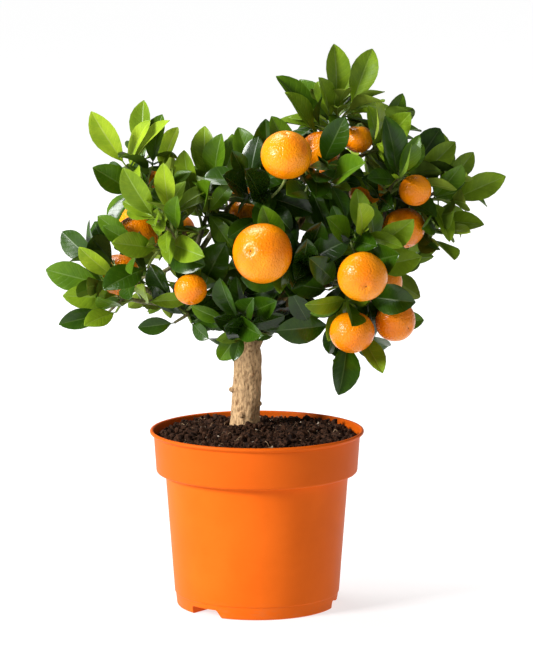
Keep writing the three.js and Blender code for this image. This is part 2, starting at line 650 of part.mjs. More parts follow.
// A point of a leaf's blade: t runs from the twig to the tip, u across it from -1 to 1
function leafPoint(leaf, t, u, lift) {
  const bend = leaf.arch * t;
  const forward = (leaf.length * Math.sin(bend)) / leaf.arch;
  const drop = (leaf.length * (1 - Math.cos(bend))) / leaf.arch;
  const normal = leaf.normal.clone().multiplyScalar(Math.cos(bend));
  normal.addScaledVector(leaf.along, Math.sin(bend));
  const side = new THREE.Vector3().crossVectors(leaf.along, leaf.normal);
  const half = 0.5 * leaf.width * leafOutline(t) * u;
  return leaf.base.clone()
    .addScaledVector(leaf.along, forward)
    .addScaledVector(leaf.normal, -drop)
    .addScaledVector(side, half * Math.cos(leaf.fold))
    .addScaledVector(normal, Math.abs(half) * Math.sin(leaf.fold) + lift);
}

// Half width of a leaf as a share of its widest: a petiole, then a blade widest past its middle
function leafOutline(t) {
  if (t < 0.1) {
    return 0.08;
  }
  const s = Math.min((t - 0.1) / 0.9, 1);
  return Math.max(0.08, Math.max(Math.sin(Math.PI * s ** 0.9), 0) ** 0.75);
}

// Points over a leaf's blade, close enough together that two blades can't cross between them
function leafChecks(leaf) {
  const points = [leafPoint(leaf, 0.99, 0, 0)];
  for (const t of [0.3, 0.42, 0.54, 0.66, 0.78, 0.9]) {
    for (const u of [-0.95, -0.32, 0.32, 0.95]) {
      points.push(leafPoint(leaf, t, u, 0));
    }
  }
  return points;
}

// The side a leaf turns its face to: out from the crown, and to the front or the back
function facing(base) {
  const outward = base.clone().sub(CROWN_CENTRE).normalize().multiplyScalar(0.5);
  outward.y += base.y < FRONT_FACING_Y ? -FACING : FACING;
  return outward;
}

// The gap that a leaf of an owner keeps to a taken point, or null where it keeps none
function leafGap(other, owner) {
  if (other.owner === 'leaf') {
    return LEAF_SPACING;
  }
  if (other.owner === 'fruit') {
    return FRUIT_SPACING;
  }
  return other.owner === owner ? null : LIMB_SPACING;
}

// Frames along a shoot, carried back from its end, where they fit the end leaf
function framesAlong(shoot, shares) {
  const frames = [];
  let normal = shoot.endLeaf.normal;
  for (const share of [...shares].reverse()) {
    const point = shoot.curve.getPointAt(share);
    const tangent = shoot.curve.getTangentAt(share);
    normal = normal.clone().addScaledVector(tangent, -normal.dot(tangent)).normalize();
    frames.unshift({ point, tangent, side: new THREE.Vector3().crossVectors(tangent, normal), normal });
  }
  return frames;
}

// A leaf on a slot of a shoot: on one of the shoot's three sides, swayed a little off its middle,
// and left out where every try is blocked
function growLeaf(mass, shoot, slot, first, random) {
  const turn = within(LEAF_TURN, random);
  const sway = within(LEAF_SWAY, random);
  const arch = radians(within(LEAF_ARCH, random));
  const length = mass.leaf * within(LEAF_LENGTHS, random);
  const width = length * LEAF_WIDTH * within(LEAF_WIDTHS, random);
  const lean = within(LEAF_LEAN, random);
  const opening = within(LEAF_OPENING, random) - OPENING_FALL * slot[1];
  const [lower, upper] = framesAlong(shoot, slot);
  const base = lower.point.clone().lerp(upper.point, 0.5);
  for (let attempt = 0; attempt < LEAF_TRIES; attempt++) {
    const face = (first + attempt) % 3;
    const around = radians(90 - 120 * face + (attempt < 3 ? sway : -sway));
    const ray = lower.side.clone().multiplyScalar(Math.cos(around));
    ray.addScaledVector(lower.normal, Math.sin(around));
    const open = radians(opening + OPENING_RETRY * attempt);
    const along = upper.tangent.clone().multiplyScalar(Math.cos(open));
    along.addScaledVector(ray, Math.sin(open));
    const normal = upper.tangent.clone().multiplyScalar(Math.sin(open));
    normal.addScaledVector(ray, -Math.cos(open));
    normal.addScaledVector(UP, lean).addScaledVector(facing(base), turn);
    normal.addScaledVector(along, -normal.dot(along)).normalize();
    const leaf = { base, along, normal, arch, width, length, fold: radians(LEAF_FOLD), slot, face };
    const points = leafChecks(leaf);
    const tooFar = points.some((point) => point.distanceTo(mass.middle) > mass.radius || inSky(point));
    if (!tooFar && !shadesFruit(points) && !isBlocked(points, leafGap, mass.name)) {
      points.forEach((point) => take(point, 0, 'leaf'));
      return leaf;
    }
  }
  return null;
}

// The leaf that ends a shoot: its tip lies on the point that the shoot reaches
function growEndLeaf(shoot, random) {
  const base = shoot.curve.getPointAt(1);
  const arch = radians(within(END_ARCH, random));
  const width = shoot.leaf * LEAF_WIDTH * within(END_WIDTHS, random);
  const chord = shoot.reach.clone().sub(base).normalize();
  const normal = facing(base).addScaledVector(UP, 0.3);
  normal.addScaledVector(chord, -normal.dot(chord)).normalize();
  const along = chord.clone().multiplyScalar(Math.cos(arch / 2));
  along.addScaledVector(normal, Math.sin(arch / 2));
  normal.addScaledVector(along, -normal.dot(along)).normalize();
  return { base, along, normal, arch, width, length: shoot.leaf, fold: radians(LEAF_FOLD) };
}

// Leaves up a stem or shoot, one on each slot where it finds room
function growLeaves(mass, shoot, random) {
  const start = Math.floor(3 * random());
  const leaves = shoot.slots.map((slot, i) => growLeaf(mass, shoot, slot, start + i, random));
  return leaves.filter((leaf) => leaf !== null);
}

// Three corners of a twig or a leaf's root, round a centre: left and right above, one below
function corners(centre, side, normal, radius) {
  return [
    centre.clone().addScaledVector(side, -0.87 * radius).addScaledVector(normal, 0.5 * radius),
    centre.clone().addScaledVector(side, 0.87 * radius).addScaledVector(normal, 0.5 * radius),
    centre.clone().addScaledVector(normal, -radius),
  ];
}

// The seven free points of a leaf: near and far edge points, tip, and above and below its middle
function bladePoints(leaf, extra) {
  const wider = 1 + (2 * extra) / leaf.width;
  return [
    leafPoint(leaf, 0.36, -wider, 0),
    leafPoint(leaf, 0.36, wider, 0),
    leafPoint(leaf, 0.74, -wider, 0),
    leafPoint(leaf, 0.74, wider, 0),
    leafPoint(leaf, 1 + extra / leaf.length, 0, 0),
    leafPoint(leaf, 0.52, 0, LEAF_THICKNESS / 2 + extra),
    leafPoint(leaf, 0.52, 0, -LEAF_THICKNESS / 2 - extra),
  ];
}

// Faces of a leaf whose root has a left, a right and one or two keel points, numbered as given,
// and whose free points are numbered from first
function bladeFaces(left, right, keels, first) {
  const [nearL, nearR, farL, farR, tip, top, bottom] = [0, 1, 2, 3, 4, 5, 6].map((k) => first + k);
  const above = [left, right, nearR, farR, tip, farL, nearL];
  const below = [...keels, left, nearL, farL, tip, farR, nearR, right];
  const faces = above.map((point, i) => [point, above[(i + 1) % above.length], top]);
  below.forEach((point, i) => faces.push([point, below[(i + 1) % below.length], bottom]));
  return faces;
}

function meshSolid(points, faces) {
  const geometry = new THREE.BufferGeometry();
  const flat = new Float32Array(points.flatMap((point) => point.toArray()));
  geometry.setAttribute('position', new THREE.BufferAttribute(flat, 3));
  geometry.setIndex(faces.flat());
  return toSolid(geometry);
}

// A leaf by itself, with a small three-cornered root on its twig's centre line
function leafSolid(leaf, extra) {
  const side = new THREE.Vector3().crossVectors(leaf.along, leaf.normal);
  const root = corners(leaf.base, side, leaf.normal, LEAF_ROOT);
  return meshSolid([...root, ...bladePoints(leaf, extra)], [[0, 2, 1], ...bladeFaces(0, 1, [2], 3)]);
}

// Shares of a shoot's length that have a ring: its ends, and where a shoot or stalk joins it or a
// leaf may grow
function ringsOf(shoot) {
  const shares = [0, ...shoot.joints, ...shoot.leaves.flatMap((leaf) => leaf.slot), 1];
  return [...new Set(shares)].sort((a, b) => a - b);
}

// A three-sided shoot that runs on into its end leaf. Each side leaf grows out of one of the
// shoot's faces, between two of its rings.
function shootSolid(shoot, leaves, extra = 0) {
  const shares = shoot.rings;
  const last = shares.length - 1;
  const points = framesAlong(shoot, shares).flatMap((frame, i) => {
    const radius = between(shoot.radii, shares[i]) + extra;
    return corners(frame.point, frame.side, frame.normal, radius);
  });
  const faces = [[0, 2, 1]];
  for (let ring = 0; ring < last; ring++) {
    for (let face = 0; face < 3; face++) {
      const [a, b] = [3 * ring + face, 3 * ring + ((face + 1) % 3)];
      const leaf = leaves.find((entry) => entry.slot[0] === shares[ring] && entry.face === face);
      if (leaf) {
        faces.push(...bladeFaces(b + 3, a + 3, [a, b], points.length));
        points.push(...bladePoints(leaf, extra));
      } else {
        faces.push([a, b, b + 3], [a, b + 3, a + 3]);
      }
    }
  }
  faces.push(...bladeFaces(3 * last, 3 * last + 1, [3 * last + 2], points.length));
  points.push(...bladePoints(shoot.endLeaf, extra));
  return meshSolid(points, faces);
}

// Fruit: a slightly flattened ball whose stalk bends round to the nearest shoot of its mass
function fruitSolid(fruit, extra) {
  const geometry = new THREE.IcosahedronGeometry(fruit.size / 2 + extra, 1).scale(1.02, 1.02, 0.96);
  const turn = new THREE.Quaternion().setFromUnitVectors(UP, fruit.faces);
  geometry.applyQuaternion(turn).translate(fruit.at.x, fruit.at.y, fruit.at.z);
  return toSolid(geometry);
}

function stalkCurve(fruit, mass) {
  const radius = fruit.size / 2;
  const start = fruit.at.clone().addScaledVector(fruit.faces, -0.8 * radius);
  const bend = fruit.at.clone().addScaledVector(fruit.faces, -radius - 7);
  const [first] = STEM_JOINTS;
  let nearest = { shoot: mass.stem, share: first, point: mass.stem.curve.getPointAt(first) };
  for (const shoot of mass.shoots) {
    for (const share of shoot.slots.flat()) {
      const point = shoot.curve.getPointAt(share);
      const outside = point.distanceTo(fruit.at) > radius + 2;
      if (outside && point.distanceTo(bend) < nearest.point.distanceTo(bend)) {
        nearest = { shoot, share, point };
      }
    }
  }
  nearest.shoot.joints.push(nearest.share);
  return new THREE.QuadraticBezierCurve3(start, bend, nearest.point);
}

function stalkSolid(fruit, extra) {
  return limbSolid(fruit.stalk, () => STALK_RADIUS, 3, 2, extra);
}

// The plant, grown in order: limbs, stems and shoots, fruit, then leaves

const limbs = [];
for (const row of BOUGHS) {
  limbs.push(boughLimb(row, limbs));
}
takeCurve(trunkCurve, radiusAlong(TRUNK_RADII), 'limb', 4);
for (const limb of limbs) {
  takeCurve(limb.curve, limb.radiusAt, 'limb', 3);
}

const masses = MASSES.map((row) => ({ ...row, heart: vector(row.heart) }));
for (const mass of masses) {
  mass.tips = mass.tips ? mass.tips.map(vector) : spreadTips(mass);
  mass.stem = growStem(mass, limbs.find((limb) => limb.name === mass.bough));
  takeCurve(mass.stem.curve, radiusAlong(STEM_RADII), mass.name, 3);
}
for (const mass of masses) {
  const random = seeded(mass.seed + 50);
  mass.shoots = tipShoots(mass);
  for (const shoot of mass.shoots) {
    shoot.endLeaf = growEndLeaf(shoot, random);
    takeShoot(mass, shoot);
  }
  mass.middle = mass.heart.clone().lerp(mass.stem.curve.getPointAt(0), 0.25);
  mass.radius = Math.max(...mass.tips.map((tip) => tip.distanceTo(mass.middle))) + SPACE_MARGIN;
}

const fruits = FRUIT.map((row) => ({ ...row, at: vector(row.at), faces: vector(row.faces).normalize() }));
for (const fruit of fruits) {
  const mass = masses.find((entry) => entry.name === fruit.mass);
  fruit.stalk = stalkCurve(fruit, mass);
  take(fruit.at, fruit.size / 2, 'fruit');
  takeCurve(fruit.stalk, () => STALK_RADIUS, mass.name, 3);
}
for (const mass of masses) {
  const random = seeded(mass.seed);
  for (let i = 0; i < FILL_SHOOTS; i++) {
    const shoot = fillShoot(mass, random);
    if (shoot) {
      mass.shoots.push(shoot);
      mass.stem.joints.push(shoot.share);
      takeShoot(mass, shoot);
    }
  }
}
for (const mass of masses) {
  const random = seeded(mass.seed + 100);
  for (const shoot of mass.shoots) {
    shoot.leaves = growLeaves(mass, shoot, random);
    shoot.rings = ringsOf(shoot);
  }
}

// Solids of the plant. What is already placed is kept as solids that later ones stay clear of.

const placed = [trunkSolid(CLEAR)];

function overlaps(solid, others) {
  const box = solid.boundingBox();
  return others.some((other) => {
    const near = other.boundingBox();
    const apart = [0, 1, 2].some((k) => box.max[k] < near.min[k] || near.max[k] < box.min[k]);
    return !apart && solid.intersect(other).volume() > 0;
  });
}

const boughSolids = new Map();
for (const limb of limbs) {
  let solid = boughSolid(limb, 0);
  for (const other of placed) {
    solid = solid.subtract(other);
  }
  boughSolids.set(limb.name, wholeBody(solid));
  placed.push(boughSolid(limb, CLEAR));
}

// Clear shapes of each mass's shoots, end leaves and fruit, which every other mass stays out of
for (const mass of masses) {
  const own = fruits.filter((fruit) => fruit.mass === mass.name);
  mass.fruit = own.flatMap((fruit) => [fruitSolid(fruit, 0), stalkSolid(fruit, 0)]);
  mass.shells = [
    ...mass.shoots.map((shoot) => shootSolid(shoot, [], CLEAR)),
    ...own.flatMap((fruit) => [fruitSolid(fruit, CLEAR), stalkSolid(fruit, CLEAR)]),
  ];
}

// Side leaves are kept where their thickened shape meets no leaf before them, no limb and no
// other mass. Then each mass is joined and cut clear of the masses before it.
const keptLeaves = [];
for (const mass of masses) {
  const others = masses.filter((entry) => entry !== mass).flatMap((entry) => entry.shells);
  const obstacles = [...placed, ...others, ...mass.fruit];
  for (const shoot of mass.shoots) {
    shoot.leaves = shoot.leaves.filter((leaf) => {
      const solid = leafSolid(leaf, CLEAR);
      const clear = !overlaps(solid, obstacles) && !overlaps(solid, keptLeaves);
      if (clear) {
        keptLeaves.push(solid);
      }
      return clear;
    });
  }
}
const cutBy = [...placed];
for (const mass of masses) {
  mass.foliage = joined([...mass.shoots.map((shoot) => shootSolid(shoot, shoot.leaves)), ...mass.fruit]);
  for (const shell of cutBy) {
    if (overlaps(mass.foliage, [shell])) {
      mass.foliage = mass.foliage.subtract(shell);
    }
  }
  mass.foliage = wholeBody(mass.foliage);
  cutBy.push(...mass.shells);
}

// Scene graph

const plant = new THREE.Group();
plant.name = 'calamondin_bonsai';

function addPiece(name, solid, color, roughness) {
  const material = new THREE.MeshStandardMaterial({ color, roughness, metalness: 0 });
  const mesh = new THREE.Mesh(toGeometry(solid), material);
  mesh.name = name;
  plant.add(mesh);
}

addPiece('pot', potSolid(), 0xf0731c, 0.45);
addPiece('soil', soilSolid(trunkSolid(CLEAR)), 0x35241c, 0.95);
addPiece('trunk', trunkSolid(0), 0xa88e6b, 0.85);
for (const [name, solid] of boughSolids) {
  addPiece(name, solid, 0x6f6a3e, 0.8);
}
for (const mass of masses) {
  addPiece(mass.name, mass.foliage, 0x4d8c2b, 0.5);
}

export default plant;
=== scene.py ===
# Calamondin bonsai: a small citrus tree with ripe fruit, growing in a round moulded pot.
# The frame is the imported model's: +Z up, the pot's underside on z = 0, the front towards -Y.
# Sizes are written in millimetres, and become metres where a mesh is made.
import json
import math

import bpy
import numpy as np
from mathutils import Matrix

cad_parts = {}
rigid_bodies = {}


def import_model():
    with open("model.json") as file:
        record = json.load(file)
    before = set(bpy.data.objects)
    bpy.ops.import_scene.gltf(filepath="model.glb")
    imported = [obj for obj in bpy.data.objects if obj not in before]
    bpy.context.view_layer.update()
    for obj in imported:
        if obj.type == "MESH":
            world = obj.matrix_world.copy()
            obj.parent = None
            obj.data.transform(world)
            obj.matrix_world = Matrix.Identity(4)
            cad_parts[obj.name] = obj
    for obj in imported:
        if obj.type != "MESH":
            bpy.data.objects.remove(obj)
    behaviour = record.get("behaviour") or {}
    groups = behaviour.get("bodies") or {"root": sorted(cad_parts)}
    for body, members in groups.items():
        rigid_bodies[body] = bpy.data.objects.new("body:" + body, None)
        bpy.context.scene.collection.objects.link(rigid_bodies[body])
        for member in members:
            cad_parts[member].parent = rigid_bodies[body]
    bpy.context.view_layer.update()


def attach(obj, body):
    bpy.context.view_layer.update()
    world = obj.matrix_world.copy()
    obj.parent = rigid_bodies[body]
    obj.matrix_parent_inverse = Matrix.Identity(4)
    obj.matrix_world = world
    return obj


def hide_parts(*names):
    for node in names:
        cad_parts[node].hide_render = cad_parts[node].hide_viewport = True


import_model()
MM = 0.001

# Camera
# The picture is taken from in front with a long lens, from a little above the lip of the pot.
# Its place was worked out from the ellipse of the lip, which shows 10.4 degrees from above.
CAMERA_PLACE = (6.7, -2360.6, 556.25)
CAMERA_DOWN = math.radians(8.7665)
CAMERA_LENS = 185.0

camera_data = bpy.data.cameras.new("camera")
camera_data.lens = CAMERA_LENS
camera_data.clip_end = 100
camera = bpy.data.objects.new("camera", camera_data)
camera.location = [value * MM for value in CAMERA_PLACE]
camera.rotation_euler = (math.pi / 2 - CAMERA_DOWN, 0, 0)
bpy.context.scene.collection.objects.link(camera)
bpy.context.scene.camera = camera

# Floor and light
# A pale floor that glows, so that shadows on it stay faint, under a dim even sky. A large soft
# lamp in front on the left models the plant, a wide one from above and behind gives the leaves
# their pale sheen, and a weak one on the right lifts the shade a little.
FLOOR_HALF = 30.0
FLOOR_GREY = 0.35
FLOOR_GLOW = 0.9
# The glow is dimmer near the pot: a painted shade round its foot that fades out further away.
PAINTED_SHADE_GLOW_NEAR = (0.8, 0.79, 0.79)
GLOW_FAR = (1.0, 1.0, 1.0)
GLOW_FADE = (0.15, 1.6)
SKY = (1.0, 1.0, 1.0)
SKY_STRENGTH = 0.24
LAMPS = [
    {"name": "lamp_left", "place": (-2.1, -1.3, 1.3), "size": 0.8, "power": 112},
    {"name": "lamp_above", "place": (-0.7, 0.9, 2.3), "size": 1.2, "power": 55},
    {"name": "lamp_right", "place": (1.6, -2.2, 0.7), "size": 1.0, "power": 1.5},
]
LAMP_AIM = np.array([0.0, 0.0, 0.24])


class Wire:
    """One output in a material's nodes. Arithmetic on it adds Math nodes, node() any other."""

    def __init__(self, tree, socket):
        self.tree = tree
        self.socket = socket

    def node(self, kind, settings, inputs, output=0):
        """Adds a node of a kind, makes its settings, then feeds its sockets, and gives an output."""
        added = self.tree.nodes.new(kind)
        for name, value in settings.items():
            if name == "stops":
                for stop in value[2:]:
                    added.color_ramp.elements.new(stop[0])
                for element, stop in zip(added.color_ramp.elements, value):
                    element.position = stop[0]
                    element.color = (*stop[1], 1)
            else:
                setattr(added, name, value)
        for key, value in inputs.items():
            self.feed(added.inputs[key], value)
        return Wire(self.tree, added.outputs[output])

    def feed(self, socket, value):
        """Links a wire to a socket, or sets the socket to a plain value."""
        if isinstance(value, Wire):
            self.tree.links.new(value.socket, socket)
        elif isinstance(value, tuple) and len(value) == 3 and socket.type == "RGBA":
            socket.default_value = (*value, 1)
        else:
            socket.default_value = value

    def math(self, operation, first, second):
        return self.node("ShaderNodeMath", {"operation": operation}, {0: first, 1: second})

    def __add__(self, other):
        return self.math("ADD", self, other)

    def __radd__(self, other):
        return self.math("ADD", other, self)

    def __sub__(self, other):
        return self.math("SUBTRACT", self, other)

    def __rsub__(self, other):
        return self.math("SUBTRACT", other, self)

    def __mul__(self, other):
        return self.math("MULTIPLY", self, other)

    def __rmul__(self, other):
        return self.math("MULTIPLY", other, self)

    def part(self, axis):
        """One of X, Y and Z of a vector."""
        return self.node("ShaderNodeSeparateXYZ", {}, {0: self}, axis)

    def stretched(self, scale):
        """The vector with each of X, Y and Z multiplied by a number."""
        return self.node("ShaderNodeVectorMath", {"operation": "MULTIPLY"}, {0: self, 1: scale})

    def noise(self, size, detail):
        """Soft noise from 0 to 1 with lumps of a size in millimetres, read at this place."""
        inputs = {"Vector": self, "Scale": 1 / (size * MM), "Detail": detail, "Roughness": 0.55}
        return self.node("ShaderNodeTexNoise", {}, inputs)

    def cells(self, size, feature="F1"):
        """Distance to the nearest of scattered points, a size in millimetres apart."""
        inputs = {"Vector": self, "Scale": 1 / (size * MM)}
        return self.node("ShaderNodeTexVoronoi", {"feature": feature}, inputs, "Distance")

    def ramp(self, low, high):
        """0 under low, 1 over high and a smooth rise between."""
        inputs = {"Value": self, "From Min": low, "From Max": high}
        return self.node("ShaderNodeMapRange", {"interpolation_type": "SMOOTHSTEP"}, inputs)

    def mix(self, first, second):
        """The first colour where this is 0 and the second where it is 1. The colours of a Mix node
        are its inputs 6 and 7 and its output 2."""
        inputs = {"Factor": self, 6: first, 7: second}
        return self.node("ShaderNodeMix", {"data_type": "RGBA"}, inputs, 2)

    def bump(self, depth):
        """A normal from this height, which stands for a depth in millimetres."""
        inputs = {"Height": self, "Distance": depth * MM, "Strength": 1.0}
        return self.node("ShaderNodeBump", {}, inputs)


def new_finish(name, **values):
    """A material with plain values on its shader. Gives it, its shader and its Object coordinates."""
    material = bpy.data.materials.new(name)
    material.use_nodes = True
    tree = material.node_tree
    shader = tree.nodes["Principled BSDF"]
    for key, value in values.items():
        shader.inputs[key.replace("_", " ")].default_value = value
    place = tree.nodes.new("ShaderNodeTexCoord")
    return material, shader, Wire(tree, place.outputs["Object"])


bpy.context.scene.view_settings.view_transform = "Standard"
world = bpy.data.worlds.new("sky")
world.use_nodes = True
world.node_tree.nodes["Background"].inputs["Color"].default_value = (*SKY, 1)
world.node_tree.nodes["Background"].inputs["Strength"].default_value = SKY_STRENGTH
bpy.context.scene.world = world

for lamp in LAMPS:
    light = bpy.data.lights.new(lamp["name"], "AREA")
    light.size = lamp["size"]
    light.energy = lamp["power"]
    holder = bpy.data.objects.new(lamp["name"], light)
    holder.location = lamp["place"]
    right, back, above = LAMP_AIM - np.array(lamp["place"])
    holder.rotation_euler = (math.atan2(math.hypot(right, back), -above), 0, math.atan2(-right, back))
    bpy.context.scene.collection.objects.link(holder)

floor_mesh = bpy.data.meshes.new("floor")
floor_corners = [(-FLOOR_HALF, -FLOOR_HALF, 0), (FLOOR_HALF, -FLOOR_HALF, 0),
                 (FLOOR_HALF, FLOOR_HALF, 0), (-FLOOR_HALF, FLOOR_HALF, 0)]
floor_mesh.from_pydata(floor_corners, [], [(0, 1, 2, 3)])
floor_material, floor_shader, floor_place = new_finish("pale floor", Roughness=0.9, Specular_IOR_Level=0.1)
floor_shader.inputs["Base Color"].default_value = (FLOOR_GREY, FLOOR_GREY, FLOOR_GREY, 1)
floor_shader.inputs["Emission Strength"].default_value = FLOOR_GLOW
floor_away = floor_place.node("ShaderNodeVectorMath", {"operation": "LENGTH"}, {0: floor_place}, "Value")
# Painted shade: the floor's glow is dimmer near the pot.
floor_glow_painted_shade = floor_away.ramp(*GLOW_FADE).mix(PAINTED_SHADE_GLOW_NEAR, GLOW_FAR)
floor_place.feed(floor_shader.inputs["Emission Color"], floor_glow_painted_shade)
floor_mesh.materials.append(floor_material)
floor = bpy.data.objects.new("floor", floor_mesh)
bpy.context.scene.collection.objects.link(floor)


# Pot
# A nursery pot of orange polypropylene, injection moulded in one piece: a tapered body with a
# small step at its foot, a deep band on which pots nest, and a rolled lip. Three arched notches
# in the foot lead into walled channels under the floor, with a drain hole in each. The corners of
# its profile are (radius, height, fillet).
LIP_RADIUS = 75
LIP_ROLL = 1.3
LIP_CENTRE_Z = 123
POT_SEGMENTS = 240
LONGEST_STRETCH = 12
POT_OUTSIDE = [(0, 0, 0), (56.3, 0, 1.4), (57.3, 9, 0.3), (57.9, 9.4, 0.5), (64.2, 93.9, 1.6),
               (70.5, 94.5, 1.8), (72.3, 120.6, 0.6)]
POT_INSIDE = [(72.4, 122, 0), (69.2, 95.7, 1), (62.9, 95.3, 1), (55, 2, 2), (0, 2, 0)]
NOTCH_ANGLES = (-39, 81, 201)
NOTCH_WIDTH = 25.6
NOTCH_HEIGHT = 5.6
NOTCH_SLANT = (1, 2.6)
SLANT_CORNER = 1.2
UPRIGHT_CORNER = (1.4, 1.6)
CHANNEL_START = 36
CHANNEL_WALL = 1.5
CHANNEL_END = 55.8
DRAIN_RADIUS = 4
DRAIN_DISTANCE = 46
POT_ORANGE = (0.72, 0.118, 0.004)
POT_PALE = (0.78, 0.134, 0.006)
BAND_PAINTED_SHADE = (0.56, 0.085, 0.004)
SCUFFED_ORANGE = (0.5, 0.17, 0.06)


def add_piece(name, points, faces, materials, parts=None, crease=40.0, uv=None):
    """A mesh from points in millimetres and triangles of point numbers. parts gives each face the
    number of its material, and uv each corner its place. Edges over crease degrees stay sharp."""
    mesh = bpy.data.meshes.new(name)
    mesh.vertices.add(len(points))
    mesh.vertices.foreach_set("co", np.asarray(points, dtype=np.float32).ravel() * MM)
    mesh.loops.add(faces.size)
    mesh.loops.foreach_set("vertex_index", faces.astype(np.int32).ravel())
    mesh.polygons.add(len(faces))
    mesh.polygons.foreach_set("loop_start", np.arange(0, faces.size, 3, dtype=np.int32))
    for material in materials:
        mesh.materials.append(material)
    if parts is not None:
        mesh.polygons.foreach_set("material_index", parts.astype(np.int32))
    if uv is not None:
        mesh.uv_layers.new(name="place").uv.foreach_set("vector", uv.astype(np.float32).ravel())
    mesh.update(calc_edges=True)
    mesh.shade_smooth()
    mesh.set_sharp_from_angle(angle=math.radians(crease))
    piece = bpy.data.objects.new(name, mesh)
    bpy.context.scene.collection.objects.link(piece)
    return piece


def skin(rings):
    """A closed surface over rings of points, an array of rows by columns by 3. The first and the
    last ring are each a single point. Neighbouring rings are joined by two triangles a cell."""
    rows, columns = rings.shape[:2]
    inner = (rows - 2) * columns
    number = np.zeros((rows, columns), dtype=np.int64)
    number[1:-1] = 1 + np.arange(inner).reshape(rows - 2, columns)
    number[-1] = 1 + inner
    points = np.concatenate([rings[0, :1], rings[1:-1].reshape(-1, 3), rings[-1, :1]])
    ahead = np.roll(number, -1, axis=1)
    cells = np.stack([number[:-1], ahead[:-1], ahead[1:], number[1:]], axis=-1).reshape(-1, 4)
    faces = np.concatenate([cells[:, [0, 1, 2]], cells[:, [0, 2, 3]]])
    a, b, c = faces.T
    return points, faces[(a != b) & (b != c) & (c != a)]


def rounded(corners, steps=6):
    """A profile through corners (radius, z, fillet). A corner becomes a quadratic curve between
    the two points that lie one fillet from it along its sides."""
    places = np.array([corner[:2] for corner in corners], dtype=float)
    profile = []
    for i, (corner, fillet) in enumerate(zip(places, [corner[2] for corner in corners])):
        if fillet == 0 or i in (0, len(places) - 1):
            profile.append(corner)
            continue
        before = places[i - 1] - corner
        after = places[i + 1] - corner
        start = corner + before * min(fillet / np.linalg.norm(before), 0.45)
        end = corner + after * min(fillet / np.linalg.norm(after), 0.45)
        for t in np.linspace(0, 1, steps):
            profile.append((1 - t) ** 2 * start + 2 * t * (1 - t) * corner + t ** 2 * end)
    return np.array(profile)


def split_long(profile, longest):
    """The profile with points added so that no stretch is longer than a length."""
    out = [profile[:1]]
    for start, end in zip(profile[:-1], profile[1:]):
        count = max(1, math.ceil(np.linalg.norm(end - start) / longest))
        out.append(start + (end - start) * (np.arange(1, count + 1)[:, None] / count))
    return np.concatenate(out)


def turned_on_axis(profile, segments):
    """A profile of (radius, z) carried round the Z axis: (r cos a, r sin a, z)."""
    angle = np.linspace(0, 2 * math.pi, segments, endpoint=False)
    radius, z = profile.T[:, :, None]
    return skin(np.stack([radius * np.cos(angle), radius * np.sin(angle), z + 0 * angle], axis=-1))


def notch_block(margin, start, end, angle):
    """The notch's arch, wider by a margin, drawn out from start to end along -Y and then turned.
    One side of it slants and the other is upright, and both corners are rounded."""
    half = NOTCH_WIDTH / 2 + margin
    top = NOTCH_HEIGHT + margin
    bottom = 0.6 if margin > 0 else -1.0
    foot, shoulder = half + NOTCH_SLANT[0], half - NOTCH_SLANT[1]
    wide, high = UPRIGHT_CORNER
    turn = np.linspace(0, math.pi / 2, 5)
    arch = [(-half, bottom), (foot, bottom)]
    arch += [(shoulder - SLANT_CORNER * math.sin(a), top - SLANT_CORNER * (1 - math.sin(a))) for a in turn]
    arch += [(-half + wide - wide * math.sin(a), top - high * (1 - math.cos(a))) for a in turn]
    outline = np.array(arch)
    rings = []
    for distance, shrink in ((start, 0), (start, 1), (end, 1), (end, 0)):
        middle = outline.mean(axis=0)
        ring = middle + (outline - middle) * shrink
        rings.append(np.column_stack([ring[:, 0], np.full(len(ring), -distance), ring[:, 1]]))
    points, faces = skin(np.array(rings))
    return turned_flat(points, angle), faces


def turned_flat(points, degrees):
    """Points turned about the Z axis by an angle in degrees."""
    cosine, sine = math.cos(math.radians(degrees)), math.sin(math.radians(degrees))
    x, y, z = points.T
    return np.column_stack([cosine * x - sine * y, sine * x + cosine * y, z])


def drain(angle):
    """An upright cylinder through the ceiling of a channel."""
    around = np.linspace(0, 2 * math.pi, 32, endpoint=False)
    low, high = NOTCH_HEIGHT - 2 * CHANNEL_WALL, NOTCH_HEIGHT + 4 * CHANNEL_WALL
    rings = [np.column_stack([radius * np.cos(around), radius * np.sin(around) - DRAIN_DISTANCE,
                              np.full(32, z)])
             for radius, z in ((0, low), (DRAIN_RADIUS, low), (DRAIN_RADIUS, high), (0, high))]
    points, faces = skin(np.array(rings))
    return turned_flat(points, angle), faces


def joined_or_cut(piece, shape, operation):
    """The piece's mesh after a boolean with a shape, which is then removed."""
    other = add_piece("tool", *shape, [])
    modifier = piece.modifiers.new("tool", "BOOLEAN")
    modifier.object = other
    modifier.operation = operation
    modifier.solver = "EXACT"
    result = bpy.data.meshes.new_from_object(piece.evaluated_get(bpy.context.evaluated_depsgraph_get()))
    piece.modifiers.clear()
    piece.data = result
    bpy.data.objects.remove(other)


roll = np.radians(np.linspace(-60, 180, 15))
lip_middle = (LIP_RADIUS - LIP_ROLL, LIP_CENTRE_Z)
lip = lip_middle + LIP_ROLL * np.column_stack([np.cos(roll), np.sin(roll)])
whole_profile = np.concatenate([rounded(POT_OUTSIDE), lip, rounded(POT_INSIDE)])
pot_profile = split_long(whole_profile, LONGEST_STRETCH)

